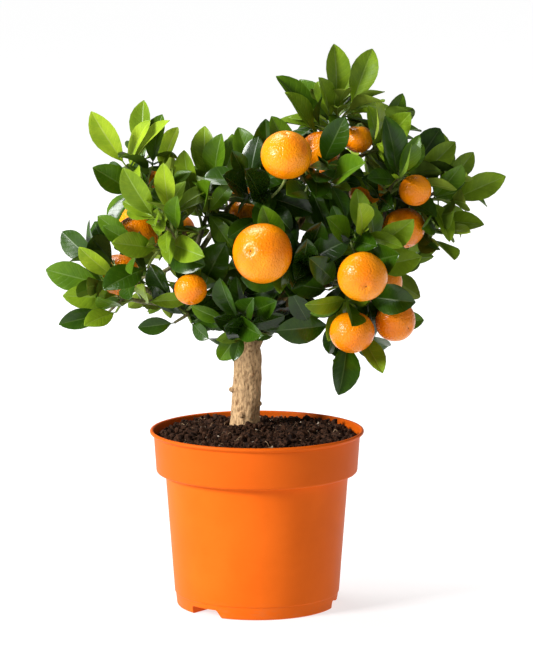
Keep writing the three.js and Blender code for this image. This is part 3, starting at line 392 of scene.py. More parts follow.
pot_finish, pot_shader, pot_place = new_finish(
    "orange polypropylene", IOR=1.49, Specular_IOR_Level=0.08)
cloudy = pot_place.noise(38, 4)
grain = pot_place.noise(0.55, 2)
low_down = 1 - pot_place.part("Z").ramp(0.0, 0.016)
scuffed = low_down * pot_place.stretched((1, 1, 3)).noise(6, 5).ramp(0.45, 0.75)
# Painted shade: the band is painted darker than the body, which catches more light from the floor.
band = 0.45 * pot_place.part("Z").ramp(0.0935, 0.0955)
pot_colour = cloudy.ramp(0.3, 0.7).mix(POT_ORANGE, POT_PALE)
pot_colour = band.mix(pot_colour, BAND_PAINTED_SHADE)
pot_colour = (scuffed * 0.3).mix(pot_colour, SCUFFED_ORANGE)
pot_place.feed(pot_shader.inputs["Base Color"], pot_colour)
pot_place.feed(pot_shader.inputs["Roughness"], 0.36 + cloudy * 0.12 + grain * 0.08 + scuffed * 0.2)
pot_relief = grain * 0.3 + pot_place.noise(5, 2) * 0.7
pot_place.feed(pot_shader.inputs["Normal"], pot_relief.bump(0.06))

pot = add_piece("moulded_pot", *turned_on_axis(pot_profile, POT_SEGMENTS), [pot_finish])
foot_profile = np.array([(0, -2), (CHANNEL_END, -2), (CHANNEL_END, 12), (0, 12)])
foot_space = turned_on_axis(foot_profile, POT_SEGMENTS)
for angle in NOTCH_ANGLES:
    walls = notch_block(CHANNEL_WALL, CHANNEL_START - CHANNEL_WALL, LIP_RADIUS, angle)
    channel = add_piece("channel", *walls, [])
    joined_or_cut(channel, foot_space, "INTERSECT")
    corners = np.array([vertex.co for vertex in channel.data.vertices]) / MM
    channel.data.calc_loop_triangles()
    sides = np.array([triangle.vertices[:] for triangle in channel.data.loop_triangles])
    bpy.data.objects.remove(channel)
    joined_or_cut(pot, (corners, sides), "UNION")
for angle in NOTCH_ANGLES:
    joined_or_cut(pot, notch_block(0, CHANNEL_START, LIP_RADIUS, angle), "DIFFERENCE")
    joined_or_cut(pot, drain(angle), "DIFFERENCE")
pot.data.materials.clear()
pot.data.materials.append(pot_finish)
pot.data.shade_smooth()
pot.data.set_sharp_from_angle(angle=math.radians(35))
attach(pot, "root")
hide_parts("pot")


# Soil
# Moist peat and bark compost: a low mound pressed to the wall, covered in crumbs of many sizes
# that are heaped a little at the back left, with thin root fibres and pale shreds of bark.
SOIL_EDGE_Z = 119.8
SOIL_RISE = 4
SOIL_BUMP = 1.3
SOIL_RADIUS = 70.4
MOUND_RADIUS = 70.5
MOUND_FALL = 90
SOIL_LUMPS = ((12, 2.0, 1), (5, 1.6, 2), (1.8, 0.7, 3))
TRUNK_FOOT = (-8.4, 23)
TRUNK_CLEAR = 10.5
WALL_CLEAR = 2.2
CRUMB_COUNT = 3600
CRUMB_SIZES = (0.8, 7.0)
CRUMB_SKEW = 0.32
CRUMB_FLATNESS = (0.35, 0.9)
CRUMB_DRIFTS = 1.7
CRUMB_LIFT = (-0.5, 1.4)
HEAP_PLACE = (-38, 46)
HEAP_RADIUS = 22
HEAP_RISE = 2.4
GRAIN_COUNT = 110
GRAIN_SIZES = (0.9, 3.4)
GRAIN_FLATNESS = (0.15, 0.6)
GRAIN_LIFT = (0.1, 0.8)
FIBRE_COUNT = 150
FIBRE_LENGTHS = (3, 11)
FIBRE_BOW = (-0.35, 0.35)
FIBRE_RISE = 4
FIBRE_RADII = (0.12, 0.3)
UP = np.array([0.0, 0.0, 1.0])


def mottled(name, blotch, spread, first, second, relief=None, **values):
    """A material of two colours in noise of a size and a detail: the first where the noise is
    under the spread, the second over it. A relief is the size, detail and depth of its bumps."""
    material, shader, place = new_finish(name, **values)
    place.feed(shader.inputs["Base Color"], place.noise(*blotch).ramp(*spread).mix(first, second))
    if relief:
        place.feed(shader.inputs["Normal"], place.noise(*relief[:2]).bump(relief[2]))
    return material


def cloud(points, size, seed):
    """Smooth noise from -1 to 1: random numbers on the corners of cubes of a size, blended across
    each cube by 3t^2 - 2t^3 along each axis."""
    place = np.asarray(points) / size
    corner = np.floor(place).astype(np.int64)
    part = place - corner
    part = part * part * (3 - 2 * part)
    total = np.zeros(place.shape[:-1])
    for step in np.ndindex(2, 2, 2):
        x, y, z = np.moveaxis((corner + step).astype(np.uint64), -1, 0)
        key = x * np.uint64(374761393) + y * np.uint64(668265263) + z * np.uint64(2246822519)
        key = key + np.uint64(seed * 974634777 + 11)
        key = (key ^ (key >> np.uint64(13))) * np.uint64(1274126177)
        value = ((key ^ (key >> np.uint64(16))) & np.uint64(0xFFFF)).astype(float) / 32767.5 - 1
        total += value * np.prod(np.where(step, part, 1 - part), axis=-1)
    return total


def soil_height(x, y):
    """Height of the mound: it falls off from the trunk and towards the wall, with small bumps."""
    edge = np.hypot(x, y) / MOUND_RADIUS
    trunk = np.hypot(x - TRUNK_FOOT[0], y - TRUNK_FOOT[1])
    mound = SOIL_RISE * (1 - edge * edge) * np.exp(-trunk / MOUND_FALL)
    bump = SOIL_BUMP * np.sin(x * 0.31 + 1) * np.cos(y * 0.27 - 0.5) * (1 - edge ** 4)
    return SOIL_EDGE_Z + mound + bump


soil_profile = np.array([(0, 8), (56, 8), (62.4, 94), (68.6, 96), (SOIL_RADIUS, SOIL_EDGE_Z - 1)])
soil_top = np.column_stack([np.linspace(SOIL_RADIUS, 0, 72), np.full(72, SOIL_EDGE_Z)])
soil_points, soil_faces = turned_on_axis(np.concatenate([soil_profile, soil_top]), 256)
on_top = soil_points[:, 2] > SOIL_EDGE_Z - 0.3
x, y, z = soil_points[on_top].T
lumps = sum(cloud(soil_points[on_top], size, seed) * rise for size, rise, seed in SOIL_LUMPS)
near_wall = np.clip((SOIL_RADIUS - np.hypot(x, y)) / 3, 0, 1)
soil_points[on_top, 2] = soil_height(x, y) + lumps * near_wall - 1.0

soil_finish = mottled("peat compost", (2.2, 5), (0.35, 0.7), (0.009, 0.0045, 0.003), (0.05, 0.024, 0.013),
                      (0.8, 4, 0.5), Roughness=0.95, Specular_IOR_Level=0.1)
soil = add_piece("soil_bed", soil_points, soil_faces, [soil_finish], crease=60)
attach(soil, "root")
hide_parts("soil")


def scatter_on_soil(count, rng):
    """Even random places on the mound, clear of the trunk's foot and of the wall."""
    radius = (SOIL_RADIUS - WALL_CLEAR) * np.sqrt(rng.uniform(0, 1, 4 * count))
    angle = rng.uniform(0, 2 * math.pi, 4 * count)
    x, y = radius * np.cos(angle), radius * np.sin(angle)
    clear = np.hypot(x - TRUNK_FOOT[0], y - TRUNK_FOOT[1]) > TRUNK_CLEAR
    x, y = x[clear][:count], y[clear][:count]
    return np.column_stack([x, y, soil_height(x, y)])


def random_turns(count, rng):
    """Rotation matrices from unit quaternions of four normal random numbers each."""
    quaternion = rng.normal(size=(4, count))
    w, x, y, z = quaternion / np.linalg.norm(quaternion, axis=0)
    rows = [[1 - 2 * (y * y + z * z), 2 * (x * y - z * w), 2 * (x * z + y * w)],
            [2 * (x * y + z * w), 1 - 2 * (x * x + z * z), 2 * (y * z - x * w)],
            [2 * (x * z - y * w), 2 * (y * z + x * w), 1 - 2 * (x * x + y * y)]]
    return np.moveaxis(np.array(rows), -1, 0)


def crumbs(places, sizes, flat, rng):
    """Rough twelve-cornered lumps: the corners of an icosahedron, each pushed in or out at random,
    squashed by a share, turned at random and moved to their places."""
    golden = (1 + math.sqrt(5)) / 2
    pattern = np.array([(a, b * golden, 0) for a in (-1, 1) for b in (-1, 1)])
    ball = np.concatenate([pattern, pattern[:, [2, 0, 1]], pattern[:, [1, 2, 0]]])
    ball /= np.linalg.norm(ball[0])
    near = np.linalg.norm(ball[:, None] - ball[None], axis=-1) < 1.2
    sides = [(i, j, k) for i in range(12) for j in range(i) for k in range(j)
             if near[i, j] and near[j, k] and near[i, k]]
    out = [s if np.linalg.det(ball[list(s)]) > 0 else s[::-1] for s in sides]
    count = len(places)
    shape = ball[None] * rng.uniform(0.6, 1.25, (count, 12, 1))
    shape = shape * np.stack([np.ones(count), rng.uniform(0.6, 1, count), flat], axis=-1)[:, None]
    shape = np.einsum("nij,nkj->nki", random_turns(count, rng), shape) * (sizes[:, None, None] / 2)
    points = (places[:, None] + shape).reshape(-1, 3)
    faces = (np.array(out)[None] + 12 * np.arange(count)[:, None, None]).reshape(-1, 3)
    return points, faces


soil_random = np.random.default_rng(41)
crumb_spread = soil_random.power(CRUMB_SKEW, CRUMB_COUNT)
crumb_sizes = CRUMB_SIZES[0] + (CRUMB_SIZES[1] - CRUMB_SIZES[0]) * crumb_spread
crumb_places = scatter_on_soil(CRUMB_COUNT, soil_random)
crumb_drifts = CRUMB_DRIFTS * cloud(crumb_places, 9, 31)
crumb_places[:, 2] += crumb_drifts + soil_random.uniform(*CRUMB_LIFT, CRUMB_COUNT)
heap_away = np.linalg.norm(crumb_places[:, :2] - HEAP_PLACE, axis=1) / HEAP_RADIUS
crumb_places[:, 2] += HEAP_RISE * np.exp(-heap_away ** 2) * soil_random.uniform(0.2, 1, CRUMB_COUNT)
crumb_flatness = soil_random.uniform(*CRUMB_FLATNESS, CRUMB_COUNT)
crumb_shape = crumbs(crumb_places, crumb_sizes, crumb_flatness, soil_random)
crumb_finish = mottled("peat crumbs", (3.4, 4), (0.3, 0.72), (0.008, 0.0037, 0.0022), (0.072, 0.031, 0.0155),
                       (0.5, 3, 0.3), Roughness=0.75, Specular_IOR_Level=0.1)
soil_crumbs = add_piece("soil_crumbs", *crumb_shape, [crumb_finish], crease=25)

grain_places = scatter_on_soil(GRAIN_COUNT, soil_random)
grain_places[:, 2] += soil_random.uniform(*GRAIN_LIFT, GRAIN_COUNT)
grain_sizes = soil_random.uniform(*GRAIN_SIZES, GRAIN_COUNT)
grain_flatness = soil_random.uniform(*GRAIN_FLATNESS, GRAIN_COUNT)
grain_shape = crumbs(grain_places, grain_sizes, grain_flatness, soil_random)
grain_finish = mottled("tan bark shreds", (7, 2), (0.42, 0.6), (0.2, 0.105, 0.05), (0.62, 0.52, 0.4),
                       (0.4, 3, 0.2), Roughness=0.8)
soil_grains = add_piece("soil_grains", *grain_shape, [grain_finish], crease=25)


def side_frames(middle, reference):
    """Unit side and normal of each point of a line: the normal is the reference made square to the
    line's direction, and side x normal is that direction."""
    ahead = np.gradient(middle, axis=0)
    ahead /= np.linalg.norm(ahead, axis=1, keepdims=True)
    normal = reference - ahead * (ahead @ reference)[:, None]
    normal /= np.linalg.norm(normal, axis=1, keepdims=True)
    return np.cross(normal, ahead), normal


def tube(middle, radii, sides, reference=(0.0, 1.0, 0.0)):
    """A closed round limb: rings of (side cos a + normal sin a) r round a line, with a point on
    its axis at each end."""
    side, normal = side_frames(middle, np.array(reference, dtype=float))
    angle = np.linspace(0, 2 * math.pi, sides, endpoint=False)
    ray = side[:, None] * np.cos(angle)[:, None] + normal[:, None] * np.sin(angle)[:, None]
    rings = middle[:, None] + ray * np.asarray(radii)[:, None, None]
    first, last = (np.repeat(middle[i][None, None], sides, axis=1) for i in (0, -1))
    return skin(np.concatenate([first, rings, last]))


def together(shapes):
    """Many (points, faces) as one."""
    counts = np.cumsum([0] + [len(points) for points, _ in shapes])
    points = np.concatenate([points for points, _ in shapes])
    return points, np.concatenate([faces + start for (_, faces), start in zip(shapes, counts)])


fibres = []
for place in scatter_on_soil(FIBRE_COUNT, soil_random):
    heading = soil_random.uniform(0, 2 * math.pi)
    reach = soil_random.uniform(*FIBRE_LENGTHS)
    bow = soil_random.uniform(*FIBRE_BOW) * reach
    t = np.linspace(-0.5, 0.5, 7)
    arc = 1 - 4 * t * t
    fx = place[0] + reach * t * math.cos(heading) - bow * arc * math.sin(heading)
    fy = place[1] + reach * t * math.sin(heading) + bow * arc * math.cos(heading)
    lift = soil_random.uniform(0.3, 1.0) ** 3 * FIBRE_RISE * arc
    if (np.hypot(fx, fy) < SOIL_RADIUS - 1.5).all():
        line = np.column_stack([fx, fy, soil_height(fx, fy) + lift - 0.2])
        fibres.append(tube(line, np.full(7, soil_random.uniform(*FIBRE_RADII)), 4, UP))
fibre_finish = mottled("root fibres", (5, 2), (0.4, 0.62), (0.06, 0.03, 0.015), (0.3, 0.19, 0.1),
                       Roughness=0.75)
soil_fibres = add_piece("soil_fibres", *together(fibres), [fibre_finish])
for piece in (soil_crumbs, soil_grains, soil_fibres):
    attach(piece, "root")


# Trunk and boughs
# Living wood. The trunk is one pale stem, tan and finely cracked, with a slight flare at its foot
# and a shoulder where it forks. The boughs come out of that fork, browner and then olive green.
# A bough has a name, a start or the name of the bough whose tip it goes on from, the point that
# bends it, its end, and its radius at either end. Knots are where small twigs broke off.
TRUNK_LINE = [(-8.4, 23, 115.5), (-8.4, 23, 119.3), (-7.6, 23, 143), (-6.4, 22.4, 166), (-5.6, 22, 184)]
TRUNK_RADII = [(0, 12.6), (0.06, 12), (0.1, 10.9), (0.2, 10.2), (0.8, 9.8), (0.9, 8.6), (1, 5.8)]
SHOULDER_RADIUS = 5.8
SHOULDER_HALF = 5.5
SHOULDER_LEAN = (0.07, -0.02, 1)
BOUGHS = [
    ("bough_centre", (-5.4, 22, 180), (0, 19, 222), (26, 6, 262), (3.7, 2.6)),
    ("bough_left", (-7, 21, 176), (-20, 10, 222), (-44, -6, 246), (3.4, 2.4)),
    ("bough_left_low", (-8, 20, 172), (-22, 12, 206), (-60, -2, 213), (3.2, 2.2)),
    ("bough_right", (-3, 21, 176), (12, 14, 216), (54, -6, 229), (3.2, 2.4)),
    ("bough_front", (-5, 18, 174), (-4, -2, 206), (4, -24, 219), (2.9, 2.1)),
    ("bough_back_left", (-8, 24, 175), (-20, 44, 214), (-42, 58, 240), (3.1, 2.2)),
    ("bough_back_right", (-2, 24, 175), (14, 44, 212), (46, 62, 240), (3.1, 2.2)),
    ("bough_left_up", "bough_left", (-50, 4, 262), (-60, 4, 277), (2.1, 1.8)),
    ("bough_top", "bough_centre", (38, 5, 282), (50, 4, 304), (2.3, 1.9)),
    ("bough_right_up", "bough_right", (72, -2, 240), (84, 2, 260), (2.2, 1.8)),
]
KNUCKLE = 1.3
CLEAR = 0.3
SWELLINGS = ((0.22, 0.45, 0.05), (0.3, 1, 0.06))
KNOTS = [((-17.6, 19, 149), 2.0), ((-11, 13.4, 132), 2.2), ((-3, 13.6, 160), 1.8), ((1.6, 19, 139), 2.0)]
BARK_STEP = 0.62
BARK_TAN = ((0.24, 0.13, 0.06), (0.7, 0.46, 0.24))
BARK_BLOTCH = (0.46, 0.29, 0.155)
BARK_OLIVE = ((0.075, 0.05, 0.02), (0.2, 0.15, 0.05))
BARK_PORE = (0.1, 0.05, 0.024)


class Path:
    """A curve read at shares of its length, from a function of t that is measured in 200 steps."""

    def __init__(self, point):
        self.point = point
        self.t = np.linspace(0, 1, 201)
        steps = np.linalg.norm(np.diff(point(self.t), axis=0), axis=1)
        self.run = np.concatenate([[0], np.cumsum(steps)])
        self.length = self.run[-1]

    def at(self, share):
        return self.point(np.interp(np.asarray(share) * self.length, self.run, self.t))

    def ahead(self, share):
        t = np.interp(share * self.length, self.run, self.t)
        step = self.point(min(t + 1e-4, 1)) - self.point(max(t - 1e-4, 0))
        return step / np.linalg.norm(step)


def bent(start, bend, end):
    """A quadratic Bezier curve: (1 - t)^2 start + 2 t (1 - t) bend + t^2 end."""
    start, bend, end = (np.array(place, dtype=float) for place in (start, bend, end))

    def point(t):
        t = np.asarray(t)[..., None]
        return (1 - t) ** 2 * start + 2 * t * (1 - t) * bend + t ** 2 * end
    return Path(point)


def threaded(places):
    """A centripetal Catmull-Rom spline: between two places it is a cubic whose slopes come from the
    neighbours, weighed by the square roots of the distances between them."""
    places = np.array(places, dtype=float)
    places = np.concatenate([[2 * places[0] - places[1]], places, [2 * places[-1] - places[-2]]])
    gaps = np.sqrt(np.linalg.norm(np.diff(places, axis=0), axis=1))[:, None]
    last = len(places) - 4
    a, b, c, d = places[:-3], places[1:-2], places[2:-1], places[3:]
    before, own, after = gaps[:-2], gaps[1:-1], gaps[2:]
    leave = ((b - a) / before - (c - a) / (before + own) + (c - b) / own) * own
    reach = ((c - b) / own - (d - b) / (own + after) + (d - c) / after) * own

    def point(t):
        spot = np.asarray(t) * (last + 1)
        i = np.clip(np.floor(spot).astype(int), 0, last)
        w = (spot - i)[..., None]
        slope = -3 * b[i] + 3 * c[i] - 2 * leave[i] - reach[i]
        return b[i] + leave[i] * w + slope * w ** 2 + (2 * b[i] - 2 * c[i] + leave[i] + reach[i]) * w ** 3
    return Path(point)


def between(stops, share):
    """A value read between stops of (place, value)."""
    places, values = np.array(stops, dtype=float).T
    return np.interp(share, places, values)


def lump(middle, half, direction, radius, sides):
    """A round lump along a line through its middle: its radius is that of a ball, cut off just
    short of the ends, at 0.97 of the way out."""
    line = np.array(middle) + np.linspace(-half, half, 9)[:, None] * np.array([direction])
    return tube(line, radius * np.sqrt(1 - np.linspace(-0.97, 0.97, 9) ** 2), sides)


trunk_path = threaded(TRUNK_LINE)
limbs = {}
for name, start, bend, end, radii in BOUGHS:
    parent = limbs.get(start)
    if parent:
        heading = np.array(bend) - parent["tip"]
        start = parent["tip"] + heading / np.linalg.norm(heading) * (parent["knuckle"] + CLEAR)
    limbs[name] = {"path": bent(start, bend, end), "tip": np.array(end, dtype=float), "parent": parent,
                   "radii": [(0, radii[0]), (1, radii[1])], "knuckle": radii[1] * KNUCKLE}

shares = np.linspace(0, 1, 60)
wood = [tube(trunk_path.at(shares), between(TRUNK_RADII, shares), 40)]
wood.append(lump(trunk_path.at(1), SHOULDER_HALF, SHOULDER_LEAN, SHOULDER_RADIUS, 24))
for limb in limbs.values():
    line = limb["path"].at(shares)
    radii = between(limb["radii"], shares)
    swell = sum(rise * np.exp(-((shares - share) / width) ** 2) for rise, share, width in SWELLINGS)
    if limb["parent"]:
        line = np.concatenate([[limb["parent"]["tip"]], line])
        radii = np.concatenate([[radii[0]], radii])
        swell = np.concatenate([[SWELLINGS[-1][0]], swell])
    wood.append(tube(line, radii * (1 + swell), 20))
wood += [lump(place, 1, (-size, -0.3 * size, 0.4 * size), size, 12) for place, size in KNOTS]

bark_finish, bark_shader, bark_place = new_finish("citrus bark", Roughness=0.8, Specular_IOR_Level=0.06)
grown = bark_place.part("Z").ramp(0.170, 0.196)
streaks = bark_place.stretched((1, 1, 0.38)).noise(1.5, 5)
blotches = bark_place.noise(6, 5).ramp(0.4, 0.62)
pores = 1 - bark_place.stretched((1, 1, 1.4)).cells(2.1).ramp(0.08, 0.26)
tan = streaks.ramp(0.3, 0.62).mix(*BARK_TAN)
tan = (blotches * 0.4).mix(tan, BARK_BLOTCH)
olive = streaks.ramp(0.35, 0.7).mix(*BARK_OLIVE)
bark_colour = (pores * 0.3).mix(grown.mix(tan, olive), BARK_PORE)
bark_place.feed(bark_shader.inputs["Base Color"], bark_colour)
bark_height = streaks * 0.6 + blotches * 0.25 - pores * 0.45
bark_place.feed(bark_shader.inputs["Normal"], bark_height.bump(0.45))

wood_form = add_piece("wood_form", *together(wood), [])
blend_over = wood_form.modifiers.new("blend", "REMESH")
blend_over.mode = "VOXEL"
blend_over.voxel_size = BARK_STEP * MM
soften = wood_form.modifiers.new("soften", "SMOOTH")
soften.factor = 0.5
soften.iterations = 5
depsgraph = bpy.context.evaluated_depsgraph_get()
grown_wood = bpy.data.meshes.new_from_object(wood_form.evaluated_get(depsgraph))
bpy.data.objects.remove(wood_form)
bark_points = np.empty(len(grown_wood.vertices) * 3, dtype=np.float32)
grown_wood.vertices.foreach_get("co", bark_points)
bark_points = bark_points.reshape(-1, 3).astype(float) / MM
bark_out = np.empty(len(grown_wood.vertices) * 3, dtype=np.float32)
grown_wood.vertices.foreach_get("normal", bark_out)
bark_out = bark_out.reshape(-1, 3)
grown_wood.calc_loop_triangles()
bark_faces = np.empty(len(grown_wood.loop_triangles) * 3, dtype=np.int32)
grown_wood.loop_triangles.foreach_get("vertices", bark_faces)

# The bark's relief: long furrows, low swellings and fine lumps, shallow on the young boughs
old = 1 - np.clip((bark_points[:, 2] - 172) / 16, 0, 0.8)
furrows = -np.clip(cloud(bark_points * (1, 1, 0.35), 2.6, 5), 0, 0.8) * 0.5
swelling = cloud(bark_points, 11, 6) * 0.6 + cloud(bark_points, 5, 7) * 0.4
lumps = cloud(bark_points * (1, 1, 0.6), 1.4, 8) * 0.26
above_soil = np.clip((bark_points[:, 2] - 119) / 4, 0, 1)
flare = 0.9 * np.exp(-np.clip(bark_points[:, 2] - 117, 0, 60) / 6) * cloud(bark_points * (1, 1, 0.1), 8, 9)
bark_relief = old * (furrows + swelling + lumps) * (0.4 + 0.6 * above_soil) + flare
tree_wood = add_piece("trunk_and_boughs", bark_points + bark_out * bark_relief[:, None],
                      bark_faces.reshape(-1, 3), [bark_finish], crease=70)
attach(tree_wood, "root")
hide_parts("trunk", *limbs)


# Crown
# Each mass of foliage grows on from the tip of its bough: a stem, shoots that branch from the
# stem, and leaves set on three sides round each shoot in turn. The numbers and the order of the
# random draws are those of the part's solids, so the crown keeps their outline and reach.
# A mass has a name, a bough, a heart that its stem runs through, the length of its leaves, its
# youth from 0, old and dark, to 1, young and pale, and the tips that it reaches, or how many tips
# are spread over its outer side. A last column makes the leaves of the shoot to one tip, by its
# number, younger than the rest, or older where the value is negative.
FIRST_SEED = 11
MASSES = [
    ("mass_top", "bough_top", (56, 2, 334), 44, 0.72,
     [(53, 0, 394), (80, 8, 390), (42, -28, 373), (13, -6, 372), (19, -22, 362)], {3: -0.35, 4: -0.2}),
    ("mass_top_right", "bough_top", (83, 2, 322), 42, 0.66,
     [(101, 8, 359), (81, -42, 357), (105, -40, 350), (65, 30, 347)], {1: 0.35, 2: 0.35}),
    ("mass_crown_mid", "bough_top", (33, -34, 302), 42, 0.42,
     [(10, -34, 347), (60, -48, 348), (73, -82, 320), (20, -78, 298)]),
    ("mass_crown_left", "bough_centre", (-2, -30, 299), 40, 0.5,
     [(-17, -48, 325), (-23, -60, 309), (-13, -8, 337), (6, -30, 345), (-8, -72, 315)], {1: -0.4, 4: -0.3}),
    ("mass_left_top", "bough_left_up", (-75, -12, 296), 44, 0.7,
     [(-113, -30, 350), (-78, 0, 355), (-65, -8, 346), (-55, 14, 335), (-112, -35, 312)]),
    ("mass_left_shoulder", "bough_left", (-58, -44, 268), 42, 0.72,
     [(-90, -64, 315), (-63, -52, 317), (-53, -74, 297), (-98, -66, 264)], {0: 0.25, 1: 0.2}),
    ("mass_mid_left", "bough_left", (-33, -2, 281), 44, 0.64,
     [(-24, -10, 333), (-36, 2, 337), (-31, -58, 305), (-12, 14, 330), (-50, -14, 322)]),
    ("mass_left_mid", "bough_left", (-73, -36, 258), 42, 0.66,
     [(-109, -30, 278), (-105, -45, 273), (-104, -66, 232)]),
    ("mass_far_left", "bough_left_low", (-98, -26, 240), 42, 0.58,
     [(-135, -5, 264), (-113, 5, 270), (-146, -15, 239), (-121, -48, 259), (-134, -25, 222)],
     {0: -0.45, 1: -0.45}),
    ("mass_far_left_low", "bough_left_low", (-92, -24, 219), 46, 0.62,
     [(-136, -38, 204), (-118, -50, 205), (-108, -58, 226)]),
    ("mass_lower_left", "bough_left_low", (-48, -22, 209), 40, 0.42,
     [(-82, -32, 201), (-74, -8, 242), (-33, -38, 194), (-21, -38, 261)]),
    ("mass_lower_front", "bough_front", (-8, -32, 208), 42, 0.15,
     [(-26, -18, 176), (-16, -42, 179), (1, -50, 195), (-28, -48, 210)]),
    ("mass_centre_front", "bough_front", (29, -48, 246), 42, 0.4,
     [(34, -90, 270), (44, -70, 279), (4, -62, 289), (22, -72, 228)], {0: -0.35, 1: -0.35}),
    ("mass_right_top", "bough_right_up", (93, -26, 300), 46, 0.52,
     [(104, -76, 332), (127, 4, 335), (137, -8, 327), (71, -50, 306)], {3: -0.5}),
    ("mass_right_outer", "bough_right_up", (122, 0, 290), 46, 0.66,
     [(150, 0, 319), (172, -8, 303), (140, -34, 314), (157, -14, 270)]),
    ("mass_right_low_outer", "bough_right_up", (116, 4, 270), 44, 0.6,
     [(147, -26, 266), (135, -42, 249), (112, 14, 246)]),
    ("mass_right_mid", "bough_right", (72, -42, 264), 42, 0.5,
     [(68, -92, 294), (47, -80, 283), (106, -72, 281), (96, -88, 259), (112, -62, 254)],
     {0: 0.6, 2: 0.1, 3: -0.3}),
    ("mass_right_front", "bough_right", (62, -38, 233), 42, 0.42,
     [(35, -82, 256), (19, -66, 237), (108, -64, 223), (64, -86, 210)]),
    ("mass_lower_right", "bough_right", (66, -22, 211), 44, 0.46,
     [(13, -46, 201), (56, -46, 156), (86, -56, 173), (116, -12, 203)], {0: -0.3, 1: -0.35, 2: 0.35}),
    ("mass_back_left", "bough_back_left", (-66, 62, 262), 42, 0.6, 5),
    ("mass_back_low_left", "bough_back_left", (-72, 52, 226), 42, 0.4, 5),
    ("mass_back_top", "bough_back_left", (-12, 66, 286), 42, 0.55, 5),
    ("mass_back_low", "bough_back_right", (10, 82, 224), 42, 0.3, 5),
    ("mass_back_right", "bough_back_right", (74, 66, 282), 42, 0.6, 5),
    ("mass_back_low_right", "bough_back_right", (92, 52, 240), 42, 0.4, 5),
]
# A fruit has a mass that it hangs from, its centre, its width, the way its blossom end faces, and
# how much of its face towards the front no side leaf may cover, as a share of its radius.
FRUIT = [
    ("mass_crown_left", (20, -70, 324), 34, (0, -0.35, 1), 0.9),
    ("mass_centre_front", (4, -82, 259), 40, (-0.45, -0.9, 0.2), 0.85),
    ("mass_lower_left", (-45, -50, 230), 22, (0, -0.6, -1), 0.95),
    ("mass_left_mid", (-83, -12, 262), 29, (-0.2, -0.5, -1), 0.6),
    ("mass_far_left", (-97, 2, 232), 31, (0.2, -0.8, -0.8), 0.55),
    ("mass_left_top", (-67, 14, 297), 20, (0, 0, -1), 0.5),
    ("mass_mid_left", (-8, 14, 274), 22, (0, 0.2, -1), 0.4),
    ("mass_crown_mid", (44, -16, 322), 27, (0.2, -0.5, -1), 0.4),
    ("mass_top_right", (70, -10, 329), 20, (0, 0, -1), 0.5),
    ("mass_right_top", (76, -4, 291), 24, (0, -0.4, -1), 0.4),
    ("mass_right_outer", (108, -42, 297), 22, (0.3, -0.6, -1), 0.95),
    ("mass_right_low_outer", (101, -24, 269), 29, (0.2, -0.4, -1), 0.7),
    ("mass_right_mid", (71, -88, 244), 33, (0.15, -1, -0.35), 0.95),
    ("mass_right_front", (85, -26, 231), 30, (0.3, -0.3, -1), 0.8),
    ("mass_lower_right", (65, -58, 202), 30, (0, -0.3, -1), 0.85),
    ("mass_lower_right", (95, -42, 207), 28, (0.7, -0.7, -0.3), 0.85),
    ("mass_back_left", (-86, 84, 257), 30, (-0.3, 0.5, -1), 0),
    ("mass_back_left", (-58, 98, 252), 26, (0, 0.6, -1), 0),
    ("mass_back_top", (-4, 96, 276), 33, (0, 0.7, -0.8), 0),
    ("mass_back_top", (14, 70, 310), 24, (0.3, 0.4, 1), 0),
    ("mass_back_low", (14, 108, 214), 31, (0.2, 0.4, -1), 0),
    ("mass_back_right", (86, 92, 268), 32, (0.3, 0.6, -1), 0),
    ("mass_back_right", (56, 92, 290), 26, (0, 0.8, -0.6), 0),
    ("mass_back_low_right", (92, 76, 222), 28, (0.3, 0.5, -1), 0),
]

STEM_RADII = [(0, 1.9), (1, 0.9)]
STEM_BEND = 0.55
SHOOT_RADII = [(0, 0.4), (0.3, 1.1), (1, 0.8)]
SHOOT_BEND = 0.35
STALK_RADIUS = 0.9
TIP_LEAF_SHARE = 0.72
TIP_LEAF_LONGEST = 46
TIP_LEAF_AHEAD = 0.85
TIP_LEAF_UP = 0.12
FILL_SHOOTS = 2
FILL_OPENING = (50, 90)
FILL_REACH = (34, 52)
SPREAD_CAP = 1.15
SPREAD_REACH = 52
SHORTEST_REACH = 34
SPACE_MARGIN = 6
GOLDEN_ANGLE = 137.5
STEM_JOINTS = (0.66, 0.56, 0.5, 0.36, 0.3)
STEM_SLOTS = ((0.3, 0.36), (0.5, 0.56), (0.74, 0.8), (0.8, 0.86), (0.86, 0.93))
SHOOT_SLOTS = ((0.34, 0.48), (0.48, 0.62), (0.62, 0.76), (0.76, 0.9))
LEAF_WIDTH = 0.42
LEAF_FOLD = math.radians(16)
LEAF_SWAY = (-24, 24)
LEAF_ARCH = (14, 40)
LEAF_LENGTHS = (0.76, 1.06)
LEAF_WIDTHS = (0.9, 1.15)
LEAF_LEAN = (0.35, 0.85)
LEAF_TURN = (0.6, 1.1)
LEAF_OPENING = (74, 88)
OPENING_FALL = 34
OPENING_RETRY = 5
END_ARCH = (10, 24)
END_WIDTHS = (1, 1.2)
END_LEAN = 0.3
FACING = 0.7
FACING_OUT = 0.5
FRONT_FACING_Y = 35
LEAF_SPACING = 3.4
LEAF_TRIES = 6
FRUIT_SPACING = 1.2
SHOOT_TO_FRUIT = 8
LIMB_SPACING = 1.2
STALK_BEND = 7
STALK_DEPTH = 0.8
ROOM_NEAR = 24
ROOM_SIZE = 60000
LIMB_STEP = 3
